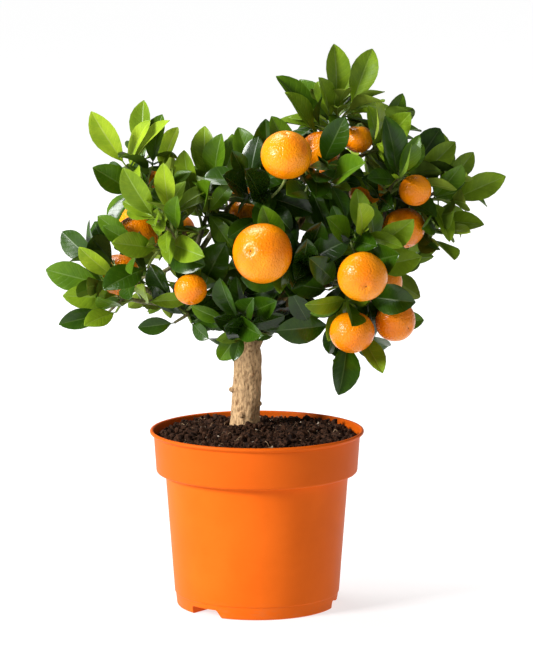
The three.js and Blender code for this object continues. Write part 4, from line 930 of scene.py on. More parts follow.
# The crown's outline and its open gaps in the front view: places (x, height) along its upper and
# lower edge, and gaps (x, height, radius). A point further back shows higher, by the slope.
UPPER_EDGE = [(-150, 248), (-124, 268), (-110, 284), (-107, 350), (-76, 358), (-54, 340), (4, 342),
              (12, 374), (42, 376), (52, 397), (80, 392), (88, 364), (106, 354), (126, 338), (150, 322),
              (160, 306), (174, 305)]
UNDERSIDE = [(-150, 236), (-138, 226), (-134, 196), (-106, 202), (-86, 210), (-80, 203), (-66, 205),
             (-50, 206), (-38, 186), (-16, 174), (6, 187), (30, 200), (44, 188), (56, 156), (70, 180),
             (88, 166), (106, 192), (116, 200), (118, 244), (150, 260), (174, 298)]
GAPS = np.array([(-40, 274, 5), (-74, 236, 9), (-62, 228, 6), (-7, 293, 4), (-61, 311, 3), (64, 343, 3),
                 (71, 311, 4), (36, 259, 6), (124, 285, 4), (45, 222, 4), (-35, 259, 4), (112, 238, 9)])
VIEW_SLOPE = 0.154
CROWN_CENTRE = np.array([8.0, 0.0, 262.0])
LEAF, FRUIT_BALL, LIMB = -1, -2, -3


def seeded(seed):
    """Repeatable random numbers from 0 to 1: each state is 48271 times the last, modulo 2^31 - 1."""
    state = seed * 7919

    def draw():
        nonlocal state
        state = (state * 48271) % 2147483647
        return state / 2147483647
    return draw


def within(limits, random):
    return limits[0] + (limits[1] - limits[0]) * random()


def unit(vector):
    return vector / np.linalg.norm(vector)


class Room:
    """Points that are taken, each with a radius and an owner. Owners 0 and up are masses."""

    def __init__(self):
        self.count = 0
        self.place = np.zeros((ROOM_SIZE, 3))
        self.radius = np.zeros(ROOM_SIZE)
        self.owner = np.zeros(ROOM_SIZE, dtype=int)

    def take(self, places, radii, owner):
        places = np.atleast_2d(places)
        new = slice(self.count, self.count + len(places))
        self.place[new], self.radius[new], self.owner[new] = places, radii, owner
        self.count += len(places)

    def take_path(self, path, stops, owner, spacing):
        count = max(2, math.ceil(path.length / spacing))
        shares = np.arange(count + 1) / count
        self.take(path.at(shares), between(stops, shares), owner)

    def blocks(self, points, owner, spacing):
        """Whether a point comes nearer than the gap that its owner keeps to what is taken."""
        place, radius, holder = (a[:self.count] for a in (self.place, self.radius, self.owner))
        low, high = points.min(axis=0) - ROOM_NEAR, points.max(axis=0) + ROOM_NEAR
        near = ((place > low) & (place < high)).all(axis=1) & (holder != owner)
        gap = np.where(holder[near] == FRUIT_BALL, FRUIT_SPACING, LIMB_SPACING)
        gap = np.where(holder[near] == LEAF, spacing, gap)
        apart = np.linalg.norm(points[:, None] - place[near][None], axis=-1)
        return bool((apart < radius[near] + gap).any())


def in_sky(points):
    """Which points lie in one of the crown's open gaps, or outside its outline."""
    points = np.atleast_2d(points)
    x, z = points[:, 0], points[:, 2] + VIEW_SLOPE * points[:, 1]
    outside = (z > between(UPPER_EDGE, x)) | (z < between(UNDERSIDE, x))
    to_gap = np.hypot(x[:, None] - GAPS[:, 0], z[:, None] - GAPS[:, 1])
    return outside | (to_gap < GAPS[:, 2]).any(axis=1)


def shades_fruit(points):
    """Whether a point hangs before the sunny face of a fruit on the front of the crown."""
    for fruit in fruits:
        right, back, above = (points - fruit["at"]).T
        beside = np.hypot(right, above + VIEW_SLOPE * back)
        if ((back < 0) & (beside < fruit["sunny"] * fruit["size"] / 2)).any():
            return True
    return False


def opened(axis, around, opening):
    """A direction turned away from an axis by an opening angle, at an angle round that axis."""
    side = unit(np.cross(axis, UP if abs(axis[2]) < 0.9 else np.array([1.0, 0.0, 0.0])))
    ray = side * math.cos(around) + np.cross(axis, side) * math.sin(around)
    return axis * math.cos(opening) + ray * math.sin(opening)


def reach_for(start, tip):
    """Where a shoot ends, one leaf short of its tip, and that leaf's length."""
    leaf = min(TIP_LEAF_SHARE * np.linalg.norm(tip - start), TIP_LEAF_LONGEST)
    heading = unit(tip - start) * TIP_LEAF_AHEAD + UP * TIP_LEAF_UP
    return tip - unit(heading) * leaf, leaf


def grow_stem(mass, limb):
    """The stem of a mass, from its bough's knuckle through its heart towards its first tip."""
    start = limb["tip"] + unit(mass["heart"] - limb["tip"]) * (limb["knuckle"] + CLEAR)
    end, leaf = reach_for(mass["heart"], mass["tips"][0])
    path = threaded([start, start + (mass["heart"] - start) * STEM_BEND, mass["heart"], end])
    return {"path": path, "leaf": leaf, "reach": mass["tips"][0], "radii": STEM_RADII, "slots": STEM_SLOTS}


def grow_shoot(mass, share, reach):
    """A shoot from a share of the stem to one leaf short of the point that it reaches."""
    start = mass["stem"]["path"].at(share)
    end, leaf = reach_for(start, reach)
    bend = start + mass["stem"]["path"].ahead(share) * (np.linalg.norm(end - start) * SHOOT_BEND)
    path = bent(start, (bend + (start + end) * 0.5) * 0.5, end)
    return {"path": path, "leaf": leaf, "reach": reach, "radii": SHOOT_RADII, "slots": SHOOT_SLOTS}


def clear_of_fruit(start, end):
    """Whether a straight line keeps clear of every fruit."""
    along = end - start
    for fruit in fruits:
        share = np.clip(np.dot(fruit["at"] - start, along) / np.dot(along, along), 0, 1)
        if np.linalg.norm(start + along * share - fruit["at"]) <= fruit["size"] / 2 + SHOOT_TO_FRUIT:
            return False
    return True


def spread_tips(heart, count, seed):
    """Tips spread evenly over the outward side of a mass, each drawn in to the crown's outline."""
    outward = unit(heart - CROWN_CENTRE)
    tips = []
    i = 0
    while len(tips) < count:
        opening = math.acos(1 - SPREAD_CAP * (i % count + 0.5) / count)
        along = opened(outward, math.radians(i * GOLDEN_ANGLE + seed * 20), opening)
        reach = SPREAD_REACH * (0.88 + 0.12 * math.cos(i * 2))
        while reach > SHORTEST_REACH and in_sky(heart + along * (reach + 3))[0]:
            reach -= 2
        if clear_of_fruit(heart, heart + along * reach):
            tips.append(heart + along * reach)
        i += 1
    return tips


def leaf_outline(t):
    """Half width of a leaf as a share of its widest: a petiole, then sin(pi s^0.9)^0.75."""
    s = np.clip((t - 0.1) / 0.9, 0, 1)
    blade = np.maximum(np.sin(math.pi * s ** 0.9), 0) ** 0.75
    return np.where(t < 0.1, 0.08, np.maximum(0.08, blade))


def leaf_point(leaf, t, u, lift=0.0, half_width=leaf_outline):
    """Points of a leaf's blade. Its midline is an arc, and each half rises by the fold angle:
    t runs from the twig to the tip, u across it from -1 to 1, and lift is along its normal."""
    t, u = np.asarray(t, dtype=float), np.asarray(u, dtype=float)
    bend = leaf["arch"] * t
    forward = leaf["length"] * np.sin(bend) / leaf["arch"]
    drop = leaf["length"] * (1 - np.cos(bend)) / leaf["arch"]
    normal = leaf["normal"] * np.cos(bend)[..., None] + leaf["along"] * np.sin(bend)[..., None]
    side = np.cross(leaf["along"], leaf["normal"])
    half = 0.5 * leaf["width"] * half_width(t) * u
    fold = leaf.get("fold", LEAF_FOLD)
    rise = np.abs(half) * math.sin(fold) + lift
    return (leaf["base"] + leaf["along"] * forward[..., None] - leaf["normal"] * drop[..., None]
            + side * (half * math.cos(fold))[..., None] + normal * np.asarray(rise)[..., None])


CHECK_T = np.concatenate([[0.99], np.repeat([0.3, 0.42, 0.54, 0.66, 0.78, 0.9], 4)])
CHECK_U = np.concatenate([[0], np.tile([-0.95, -0.32, 0.32, 0.95], 6)])


def facing(base):
    """The side a leaf turns its face to: out from the crown, and to the front or the back."""
    outward = unit(base - CROWN_CENTRE) * FACING_OUT
    outward[1] += -FACING if base[1] < FRONT_FACING_Y else FACING
    return outward


def grow_end_leaf(shoot, random):
    """The leaf that ends a shoot: its tip lies on the point that the shoot reaches."""
    base = shoot["path"].at(1.0)
    arch = math.radians(within(END_ARCH, random))
    width = shoot["leaf"] * LEAF_WIDTH * within(END_WIDTHS, random)
    chord = unit(shoot["reach"] - base)
    normal = facing(base) + UP * END_LEAN
    normal = unit(normal - chord * np.dot(normal, chord))
    along = chord * math.cos(arch / 2) + normal * math.sin(arch / 2)
    normal = unit(normal - along * np.dot(normal, along))
    return {"base": base, "along": along, "normal": normal, "arch": arch, "width": width,
            "length": shoot["leaf"], "end": True}


def frames_along(shoot, shares):
    """Point, direction, side and normal at shares of a shoot, carried back from its end leaf."""
    frames = []
    normal = shoot["end_leaf"]["normal"]
    for share in reversed(shares):
        tangent = shoot["path"].ahead(share)
        normal = unit(normal - tangent * np.dot(normal, tangent))
        frames.insert(0, (shoot["path"].at(share), tangent, np.cross(tangent, normal), normal))
    return frames


def grow_leaf(mass, shoot, slot, first, random, spacing=LEAF_SPACING, size=1.0):
    """A leaf on a slot of a shoot, on one of its three sides, left out where it finds no room."""
    turn = within(LEAF_TURN, random)
    sway = within(LEAF_SWAY, random)
    arch = math.radians(within(LEAF_ARCH, random))
    length = mass["leaf"] * within(LEAF_LENGTHS, random) * size
    width = length * LEAF_WIDTH * within(LEAF_WIDTHS, random)
    lean = within(LEAF_LEAN, random)
    opening = within(LEAF_OPENING, random) - OPENING_FALL * slot[1]
    lower, upper = frames_along(shoot, slot)
    base = (lower[0] + upper[0]) / 2
    for attempt in range(LEAF_TRIES):
        face = (first + attempt) % 3
        around = math.radians(90 - 120 * face + (sway if attempt < 3 else -sway))
        ray = lower[2] * math.cos(around) + lower[3] * math.sin(around)
        widen = math.radians(opening + OPENING_RETRY * attempt)
        along = upper[1] * math.cos(widen) + ray * math.sin(widen)
        normal = upper[1] * math.sin(widen) - ray * math.cos(widen) + UP * lean + facing(base) * turn
        normal = unit(normal - along * np.dot(normal, along))
        leaf = {"base": base, "along": along, "normal": normal, "arch": arch, "width": width,
                "length": length, "end": False}
        points = leaf_point(leaf, CHECK_T, CHECK_U)
        if not out_of_reach(mass, points) and not room.blocks(points, mass["number"], spacing):
            room.take(points, 0, LEAF)
            return leaf
    return None


def out_of_reach(mass, points):
    """Whether a leaf's points leave their mass's space or the crown, or shade a fruit."""
    too_far = np.linalg.norm(points - mass["middle"], axis=1).max() > mass["radius"]
    return too_far or in_sky(points).any() or shades_fruit(points)


def take_shoot(mass, shoot):
    """A shoot and its end leaf take their room."""
    room.take_path(shoot["path"], shoot["radii"], mass["number"], LIMB_STEP)
    room.take(leaf_point(shoot["end_leaf"], CHECK_T, CHECK_U), 0, LEAF)


def fill_shoot(mass, random):
    """A shoot that fills a mass, or None where it or its end leaf has no room."""
    share = STEM_JOINTS[int(len(STEM_JOINTS) * random())]
    around = 2 * math.pi * random()
    opening = math.radians(within(FILL_OPENING, random))
    length = within(FILL_REACH, random)
    along = opened(mass["stem"]["path"].ahead(share), around, opening)
    shoot = grow_shoot(mass, share, mass["stem"]["path"].at(share) + along * length)
    shoot["end_leaf"] = grow_end_leaf(shoot, random)
    leaf_points = leaf_point(shoot["end_leaf"], CHECK_T, CHECK_U)
    points = np.concatenate([shoot["path"].at(np.arange(2, 7) / 6), leaf_points])
    if in_sky(points).any() or room.blocks(points, mass["number"], LEAF_SPACING):
        return None
    return shoot


def stalk_path(fruit, mass):
    """A fruit's stalk, bent round from its stem end to the nearest slot of its mass's shoots."""
    radius = fruit["size"] / 2
    bend = fruit["at"] - fruit["faces"] * (radius + STALK_BEND)
    nearest = mass["stem"]["path"].at(STEM_JOINTS[0])
    for shoot in mass["shoots"]:
        for share in np.ravel(shoot["slots"]):
            point = shoot["path"].at(share)
            outside = np.linalg.norm(point - fruit["at"]) > radius + 2
            if outside and np.linalg.norm(point - bend) < np.linalg.norm(nearest - bend):
                nearest = point
    return bent(fruit["at"] - fruit["faces"] * (STALK_DEPTH * radius), bend, nearest)


fruits = [{"mass": mass, "at": np.array(at, dtype=float), "size": size, "sunny": sunny,
           "faces": unit(np.array(faces, dtype=float))} for mass, at, size, faces, sunny in FRUIT]
room = Room()
room.take_path(threaded(TRUNK_LINE[1:]), TRUNK_RADII[1:], LIMB, 4)
for limb in limbs.values():
    room.take_path(limb["path"], limb["radii"], LIMB, LIMB_STEP)
masses = {}
for number, (name, bough, heart, leaf, youth, tips, *shift) in enumerate(MASSES):
    heart = np.array(heart, dtype=float)
    if isinstance(tips, int):
        tips = spread_tips(heart, tips, FIRST_SEED + number)
    mass = {"number": number, "seed": FIRST_SEED + number, "bough": bough, "heart": heart, "leaf": leaf,
            "youth": youth, "tips": [np.array(tip, dtype=float) for tip in tips],
            "shift": shift[0] if shift else {}}
    mass["stem"] = grow_stem(mass, limbs[bough])
    room.take_path(mass["stem"]["path"], STEM_RADII, number, LIMB_STEP)
    masses[name] = mass
for mass in masses.values():
    draw = seeded(mass["seed"] + 50)
    mass["shoots"] = [mass["stem"]]
    mass["shoots"] += [grow_shoot(mass, STEM_JOINTS[i % 5], tip) for i, tip in enumerate(mass["tips"][1:])]
    for shoot in mass["shoots"]:
        shoot["end_leaf"] = grow_end_leaf(shoot, draw)
        take_shoot(mass, shoot)
    mass["middle"] = mass["heart"] * 0.75 + mass["stem"]["path"].at(0.0) * 0.25
    mass["radius"] = max(np.linalg.norm(tip - mass["middle"]) for tip in mass["tips"]) + SPACE_MARGIN
for fruit in fruits:
    mass = masses[fruit["mass"]]
    fruit["stalk"] = stalk_path(fruit, mass)
    room.take(fruit["at"], fruit["size"] / 2, FRUIT_BALL)
    room.take_path(fruit["stalk"], [(0, STALK_RADIUS), (1, STALK_RADIUS)], mass["number"], LIMB_STEP)
for mass in masses.values():
    draw = seeded(mass["seed"])
    for _ in range(FILL_SHOOTS):
        shoot = fill_shoot(mass, draw)
        if shoot:
            mass["shoots"].append(shoot)
            take_shoot(mass, shoot)
for mass in masses.values():
    draw = seeded(mass["seed"] + 100)
    for shoot in mass["shoots"]:
        first = int(3 * draw())
        slots = enumerate(shoot["slots"])
        shoot["leaves"] = [grow_leaf(mass, shoot, slot, first + i, draw) for i, slot in slots]
        shoot["leaves"] = [leaf for leaf in shoot["leaves"] if leaf]

# Finer growth on the same shoots: a rosette of leaves round each shoot's end, smaller leaves in
# the free places lower down, and short side twigs with young leaves, all within the same reach.
ROSETTE_SLOTS = ((0.9, 0.94), (0.93, 0.97), (0.95, 0.99), (0.97, 1.0))
ROSETTE_SIZE = 0.85
INNER_SLOTS = ((0.24, 0.3), (0.4, 0.44), (0.54, 0.58), (0.68, 0.72), (0.82, 0.86))
INNER_SIZE = 0.8
FINE_SPACING = 2.0
TWIG_TRIES = 9
TWIG_OPENING = (35, 75)
TWIG_REACH = (22, 36)
TWIG_RADII = [(0, 0.7), (1, 0.55)]
TWIG_SLOTS = ((0.5, 0.6), (0.75, 0.85), (0.9, 0.97))
TWIG_LEAF_SIZE = 0.62


def grow_more(mass, shoot, slots, size, draw):
    """More leaves on a shoot, each a little smaller, wherever they find room."""
    first = int(3 * draw())
    more = [grow_leaf(mass, shoot, slot, first + i, draw, FINE_SPACING, size)
            for i, slot in enumerate(slots)]
    return [leaf for leaf in more if leaf]


def grow_twig(mass, draw):
    """A side twig on one of a mass's shoots, that ends in a leaf."""
    parent = mass["shoots"][int(len(mass["shoots"]) * draw())]
    share = 0.3 + 0.6 * draw()
    start = parent["path"].at(share)
    around = 2 * math.pi * draw()
    along = opened(parent["path"].ahead(share), around, math.radians(within(TWIG_OPENING, draw)))
    tip = start + along * within(TWIG_REACH, draw)
    leaf_length = TIP_LEAF_SHARE * np.linalg.norm(tip - start)
    end = tip - along * leaf_length
    twig = {"path": bent(start, (start + end) / 2 + UP, end), "leaf": leaf_length, "reach": tip,
            "radii": TWIG_RADII, "slots": TWIG_SLOTS}
    twig["end_leaf"] = grow_end_leaf(twig, draw)
    return twig


for mass in masses.values():
    draw = seeded(mass["seed"] + 200)
    for shoot in mass["shoots"]:
        shoot["leaves"] += grow_more(mass, shoot, ROSETTE_SLOTS, ROSETTE_SIZE, draw)
        shoot["leaves"] += grow_more(mass, shoot, INNER_SLOTS, INNER_SIZE, draw)
    mass["twigs"] = []
    for _ in range(TWIG_TRIES):
        twig = grow_twig(mass, draw)
        points = leaf_point(twig["end_leaf"], CHECK_T, CHECK_U)
        if out_of_reach(mass, points) or room.blocks(points, mass["number"], FINE_SPACING):
            continue
        take_shoot(mass, twig)
        twig["leaves"] = grow_more(mass, twig, TWIG_SLOTS, TWIG_LEAF_SIZE, draw)
        mass["twigs"].append(twig)


# Stems and shoots
# The stems of the masses are young wood with olive bark. Shoots, side twigs and fruit stalks are
# soft green growth, a little angular.
STEM_LOOK = [(0, 2.1), (0.3, 1.7), (1, 0.9)]
SHOOT_LOOK = [(0, 1.3), (0.3, 1.15), (1, 0.75)]
STEM_OLIVE = ((0.075, 0.06, 0.022), (0.17, 0.17, 0.05))
SHOOT_GREEN = ((0.14, 0.21, 0.035), (0.27, 0.36, 0.07))
LIMB_REFERENCE = (0.17, 0.9, 0.4)


def limb_tube(path, stops, count, sides, lead=None):
    """A tube along a path with radii read between stops, and a lead-in point before its start."""
    shares = np.linspace(0, 1, count)
    line, radii = path.at(shares), between(stops, shares)
    if lead is not None:
        line, radii = np.concatenate([[lead], line]), np.concatenate([[radii[0]], radii])
    return tube(line, radii, sides, LIMB_REFERENCE)


stem_finish, stem_shader, stem_place = new_finish("young olive bark", Roughness=0.6)
stem_mark = stem_place.stretched((1, 1, 0.4)).noise(1.6, 4).ramp(0.35, 0.68)
stem_place.feed(stem_shader.inputs["Base Color"], stem_mark.mix(*STEM_OLIVE))
stem_place.feed(stem_shader.inputs["Normal"], stem_mark.bump(0.2))
stem_tubes = [limb_tube(mass["stem"]["path"], STEM_LOOK, 24, 10, limbs[mass["bough"]]["tip"])
              for mass in masses.values()]
stems = add_piece("stems", *together(stem_tubes), [stem_finish])

shoot_finish = mottled("green shoots", (3, 3), (0.35, 0.68), *SHOOT_GREEN, (0.9, 2, 0.15), Roughness=0.45)
shoot_tubes = []
for mass in masses.values():
    shoot_tubes += [limb_tube(shoot["path"], SHOOT_LOOK, 14, 8) for shoot in mass["shoots"][1:]]
    shoot_tubes += [limb_tube(twig["path"], TWIG_RADII, 5, 6) for twig in mass["twigs"]]
shoots = add_piece("green_shoots", *together(shoot_tubes), [shoot_finish])
for piece in (stems, shoots):
    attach(piece, "root")
    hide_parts(*masses)


# Leaves
# Glossy evergreen leaves, leathery when old and thin when young, folded along a pale midrib and
# arched to the tip. A young spray is yellow green, an old one nearly blue green and shinier; all
# are duller and paler beneath. Each spray of leaves has one tone of the five, and a tone's leaves
# are made wider by a factor. The age of a spray starts from the youth of its mass.
LEAF_ROWS = np.array([0, 0.09, 0.15, 0.24, 0.36, 0.49, 0.62, 0.74, 0.85, 0.94, 1.0])
TOP_COLUMNS = np.array([-1, -0.55, -0.05, 0.05, 0.55, 1])
UNDER_COLUMNS = np.array([-0.07, 0.07])
LEAF_FOLDS = (12, 32)
SPRAY_SPREAD = 0.2
SHIFTED_SPREAD = 0.08
LEAF_SPREAD = 0.07
TWIG_YOUTH = 0.12
END_YOUTH = 0.08
OUTER_YOUTH = 0.25
TONES = [
    {"name": "old", "until": 0.2, "top": (0.008, 0.0245, 0.001), "top_2": (0.0135, 0.038, 0.0015),
     "under": (0.04, 0.07, 0.008), "rib": (0.027, 0.062, 0.005), "rough": 0.2, "coat": 0.4, "wide": 1.22},
    {"name": "deep", "until": 0.42, "top": (0.0165, 0.05, 0.0012), "top_2": (0.03, 0.077, 0.002),
     "under": (0.052, 0.095, 0.009), "rib": (0.05, 0.105, 0.007), "rough": 0.25, "coat": 0.25, "wide": 1.15},
    {"name": "green", "until": 0.68, "top": (0.049, 0.115, 0.002), "top_2": (0.079, 0.162, 0.004),
     "under": (0.09, 0.15, 0.013), "rib": (0.1, 0.19, 0.011), "rough": 0.31, "coat": 0.08, "wide": 1.06},
    {"name": "fresh", "until": 1.0, "top": (0.12, 0.205, 0.007), "top_2": (0.175, 0.275, 0.01),
     "under": (0.155, 0.22, 0.024), "rib": (0.2, 0.31, 0.022), "rough": 0.34, "coat": 0.04, "wide": 1.0},
    {"name": "young", "until": 9, "top": (0.2, 0.315, 0.01), "top_2": (0.3, 0.42, 0.016),
     "under": (0.22, 0.3, 0.035), "rib": (0.33, 0.43, 0.04), "rough": 0.36, "coat": 0.03, "wide": 0.97},
]


def fine_outline(t):
    """The leaf's outline with a slimmer petiole and a drawn-out tip."""
    s = np.clip((t - 0.1) / 0.9, 0, 1)
    blade = np.maximum(np.sin(math.pi * s ** 1.14), 0) ** 0.72
    return np.where(t < 0.1, 0.06, np.maximum(0.045, blade))


def blade_share(t):
    """How much of the blade's relief shows at t: none on the petiole and at the tip."""
    return np.clip((t - 0.09) / 0.08, 0, 1) * np.clip((1 - t) / 0.1, 0, 1)


def leaf_shape(leaf, wave):
    """One leaf as a closed shell: an upper face of six points across and a lower one that shares
    its margins. The blade is thickest at the midrib, cushioned between rib and margin, and its
    margin waves by a sine along its length."""
    t, u = np.meshgrid(LEAF_ROWS, TOP_COLUMNS, indexing="ij")
    cushion = 0.09 * leaf["width"] * np.abs(u) * (1 - np.abs(u))
    margin = 0.035 * leaf["width"] * np.sin(9 * t + wave) * u * np.abs(u)
    groove = np.where(np.abs(u) < 0.1, -0.12, 0.0)
    petiole = 0.42 * (1 - np.clip((t - 0.05) / 0.12, 0, 1))
    thickness = np.where(np.abs(u) > 0.99, 0, 0.14 + petiole)
    lift = (cushion + margin + groove) * blade_share(t) + thickness
    top = leaf_point(leaf, t, u, lift, fine_outline)
    t, u = np.meshgrid(LEAF_ROWS, UNDER_COLUMNS, indexing="ij")
    ridge = (0.2 + 0.25 * (1 - t)) * blade_share(t)
    petiole = 0.42 * (1 - np.clip((t - 0.05) / 0.12, 0, 1))
    under = leaf_point(leaf, t, u, -0.12 - ridge - petiole, fine_outline)
    return np.concatenate([top, under], axis=1).reshape(-1, 3)


def leaf_faces():
    """Faces of one leaf's ring of eight points a row, six above and two below, each face's
    material, 0 above, 1 below and 2 on the midrib, and each corner's place on the blade."""
    ring = np.array([0, 1, 2, 3, 4, 5, 7, 6])
    across = np.concatenate([TOP_COLUMNS, UNDER_COLUMNS])
    part = np.array([0, 0, 2, 0, 0, 1, 2, 1])
    faces, parts = [], []
    for row in range(len(LEAF_ROWS) - 1):
        for i in range(8):
            a, b = ring[i] + 8 * row, ring[(i + 1) % 8] + 8 * row
            faces += [(a, a + 8, b + 8), (a, b + 8, b)]
            parts += [part[i], part[i]]
    last = 8 * (len(LEAF_ROWS) - 1)
    for start, flip in ((0, False), (last, True)):
        for i in range(1, 7):
            corner = (start + ring[0], start + ring[i], start + ring[i + 1])
            faces.append(corner[::-1] if flip else corner)
            parts.append(1)
    faces = np.array(faces)
    place = np.stack([LEAF_ROWS[faces // 8], across[faces % 8]], axis=-1)
    return faces, np.array(parts), place


def leaf_finishes(tone):
    """The upper, lower and midrib finishes of one tone of leaf."""
    top, shader, place = new_finish(f"{tone['name']} leaf face", IOR=1.45, Specular_IOR_Level=0.16,
                                    Coat_Weight=tone["coat"], Coat_Roughness=0.15)
    spot = place.node("ShaderNodeUVMap", {"uv_map": "place"}, {})
    out = place.node("ShaderNodeMath", {"operation": "ABSOLUTE"}, {0: spot.part("Y")})
    turn = (spot.part("X") * 9 - out * 1.7) * (2 * math.pi)
    veins = place.node("ShaderNodeMath", {"operation": "SINE"}, {0: turn}).ramp(0.6, 1)
    blade = (place.noise(13, 4).ramp(0.32, 0.7) + veins * 0.25).mix(tone["top"], tone["top_2"])
    # Painted highlight: the margins are painted in the midrib's pale colour, a thin light edge.
    place.feed(shader.inputs["Base Color"], (out.ramp(0.93, 1) * 0.6).mix(blade, tone["rib"]))
    place.feed(shader.inputs["Roughness"], tone["rough"] + place.noise(4, 2) * 0.12)
    place.feed(shader.inputs["Normal"], (veins * 0.35 + place.noise(1.6, 3) * 0.45).bump(0.2))
    under, shader, place = new_finish(f"{tone['name']} leaf back", IOR=1.4, Specular_IOR_Level=0.1)
    paler = tuple(1.25 * value for value in tone["under"])
    place.feed(shader.inputs["Base Color"], place.noise(9, 3).ramp(0.3, 0.7).mix(tone["under"], paler))
    place.feed(shader.inputs["Roughness"], 0.55 + place.noise(3, 2) * 0.15)
    place.feed(shader.inputs["Normal"], place.noise(1.1, 3).bump(0.14))
    darker = tuple(0.8 * value for value in tone["rib"])
    rib = mottled(f"{tone['name']} midrib", (6, 2), (0.3, 0.7), tone["rib"], darker, Roughness=0.42)
    return [top, under, rib]


sprays = {tone["name"]: [] for tone in TONES}
tone_random = np.random.default_rng(7)
for mass in masses.values():
    for number, shoot in enumerate(mass["shoots"] + mass["twigs"]):
        shifted = number in mass["shift"]
        spray = mass["youth"] + tone_random.normal(0, SHIFTED_SPREAD if shifted else SPRAY_SPREAD)
        spray += mass["shift"].get(number, 0)
        if number >= len(mass["shoots"]):
            spray += TWIG_YOUTH
        for leaf in [shoot["end_leaf"], *shoot["leaves"]]:
            outward = np.linalg.norm((leaf["base"] - CROWN_CENTRE) * (1, 1, 1.3)) / 110
            youth = spray + OUTER_YOUTH * (outward - 0.85) + (END_YOUTH if leaf["end"] else 0)
            youth += tone_random.normal(0, LEAF_SPREAD)
            tone = next(tone for tone in TONES if youth < tone["until"])
            leaf["fold"] = math.radians(tone_random.uniform(*LEAF_FOLDS))
            leaf["width"] *= tone["wide"]
            sprays[tone["name"]].append(leaf_shape(leaf, tone_random.uniform(0, 6)))
one_faces, one_parts, one_place = leaf_faces()
for tone in TONES:
    shapes = np.array(sprays[tone["name"]])
    count, size = shapes.shape[:2]
    faces = (one_faces[None] + size * np.arange(count)[:, None, None]).reshape(-1, 3)
    leaves = add_piece(f"leaves_{tone['name']}", shapes.reshape(-1, 3), faces, leaf_finishes(tone),
                       np.tile(one_parts, count), 75, np.tile(one_place, (count, 1, 1)))
    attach(leaves, "root")
    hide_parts(*masses)


# Fruit
# Ripe calamondins: slightly flattened balls of thin glossy peel full of fine oil glands, with a
# small dimpled scar at the blossom end, of its own brown finish, and a dished, faintly furrowed
# stem end that carries a green calyx.
FRUIT_ROWS = np.concatenate([[0, 0.035, 0.07, 0.11], np.linspace(0.16, math.pi, 41)])
FRUIT_COLUMNS = 64
FLATNESS = 0.95
FRUIT_REFERENCE = (0.31, 0.2, 0.93)
CALYX_RADIUS = 2.3
STALK_LOOK = [(0, 1.2), (0.3, 0.9), (1, 0.9)]
PEEL_ORANGE = ((0.78, 0.185, 0.0003), (0.88, 0.285, 0.0008))


def end_frame(fruit, reference):
    """Two sides and the axis of a fruit, as rows: the axis runs from its blossom end to its stem."""
    axis = -fruit["faces"]
    side = unit(np.cross(axis, reference))
    return np.stack([side, np.cross(axis, side), axis])


def fruit_shape(fruit, seed):
    """A ball whose radius varies with the angle p from its blossom end: 1, less a narrow dimple at
    p = 0 and a wide one at p = pi with eight furrows, plus low uneven swellings."""
    around = np.linspace(0, 2 * math.pi, FRUIT_COLUMNS, endpoint=False)
    p, a = np.meshgrid(FRUIT_ROWS, around, indexing="ij")
    scar = 0.06 * np.exp(-(p / 0.12) ** 2) - 0.014 * np.exp(-((p - 0.3) / 0.12) ** 2)
    stem_end = math.pi - p
    dish = 0.1 * np.exp(-(stem_end / 0.34) ** 2) * (1 + 0.18 * np.cos(8 * a + seed))
    ray = np.stack([np.sin(p) * np.cos(a), np.sin(p) * np.sin(a), -np.cos(p)], axis=-1)
    uneven = 0.016 * cloud(ray * 10 + seed * 3, 8, 21) + 0.006 * cloud(ray * 10 + seed * 5, 3, 22)
    body = ray * (1 - scar - dish + uneven)[..., None] * (1.02, 1.02, FLATNESS)
    reference = FRUIT_REFERENCE if abs(fruit["faces"][2]) < 0.9 else (1.0, 0.0, 0.0)
    return skin(fruit["at"] + (body @ end_frame(fruit, reference)) * (fruit["size"] / 2))


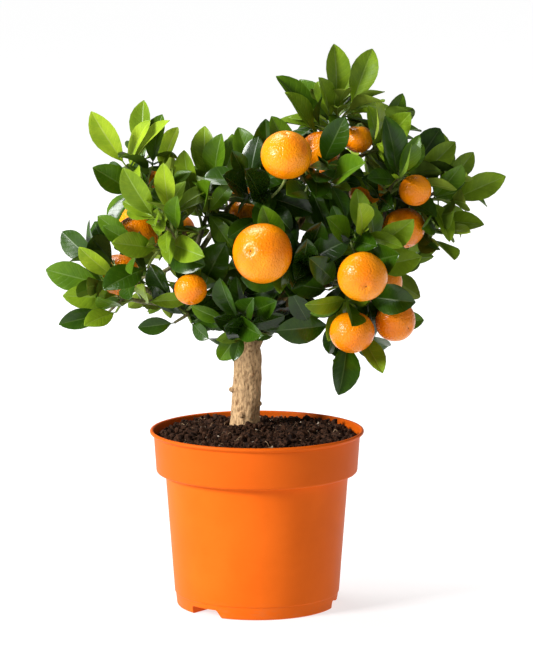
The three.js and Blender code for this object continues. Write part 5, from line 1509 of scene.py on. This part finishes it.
def calyx_shape(fruit):
    """A small five-lobed cup on the stem end: rings of radius 1 + 0.32 cos(5a), flat and thin."""
    a = np.linspace(0, 2 * math.pi, 30, endpoint=False)
    radius = CALYX_RADIUS * (1 + 0.32 * np.cos(5 * a))
    rows = [(0.0, -0.3), (0.75, -0.3), (1.0, -0.35), (1.02, 0.1), (0.55, 0.45), (0.4, 1.2), (0.0, 1.2)]
    rings = [np.column_stack([r * radius * np.cos(a), r * radius * np.sin(a), np.full(30, z)])
             for r, z in rows]
    turn = end_frame(fruit, FRUIT_REFERENCE)
    seat = fruit["at"] + turn[2] * (fruit["size"] / 2 * FLATNESS * 0.9)
    return skin(seat + np.array(rings) @ turn)


fruit_finish, fruit_shader, fruit_place = new_finish(
    "calamondin peel", IOR=1.46, Specular_IOR_Level=0.32, Coat_Weight=0.07, Coat_Roughness=0.12)
ripeness = fruit_place.noise(34, 2).ramp(0.36, 0.64)
glands = fruit_place.cells(1.3, "SMOOTH_F1").ramp(0.1, 0.6)
fruit_place.feed(fruit_shader.inputs["Base Color"], ripeness.mix(*PEEL_ORANGE))
fruit_place.feed(fruit_shader.inputs["Roughness"], 0.2 + fruit_place.noise(2, 2) * 0.1)
peel_relief = glands * 0.9 + fruit_place.noise(4, 1) * 0.4
fruit_place.feed(fruit_shader.inputs["Normal"], peel_relief.bump(0.24))
scar_finish = mottled("blossom scar", (0.6, 3), (0.35, 0.65), (0.12, 0.04, 0.012), (0.28, 0.1, 0.02),
                      (0.5, 2, 0.15), Roughness=0.85, Specular_IOR_Level=0.1)
ball_points, ball_faces = together([fruit_shape(fruit, i) for i, fruit in enumerate(fruits)])
on_scar = (ball_faces % (len(ball_points) // len(fruits)) <= FRUIT_COLUMNS).all(axis=1)
fruit_balls = add_piece("fruit", ball_points, ball_faces, [fruit_finish, scar_finish], on_scar, 80)

calyx_finish = mottled("green calyx", (1.5, 3), (0.35, 0.65), (0.1, 0.15, 0.03), (0.22, 0.27, 0.07),
                       (0.6, 2, 0.1), Roughness=0.6)
stalks = [limb_tube(fruit["stalk"], STALK_LOOK, 12, 8) for fruit in fruits]
stalks += [calyx_shape(fruit) for fruit in fruits]
calyxes = add_piece("fruit_stalks", *together(stalks), [calyx_finish])
for piece in (fruit_balls, calyxes):
    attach(piece, "root")
    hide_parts(*masses)
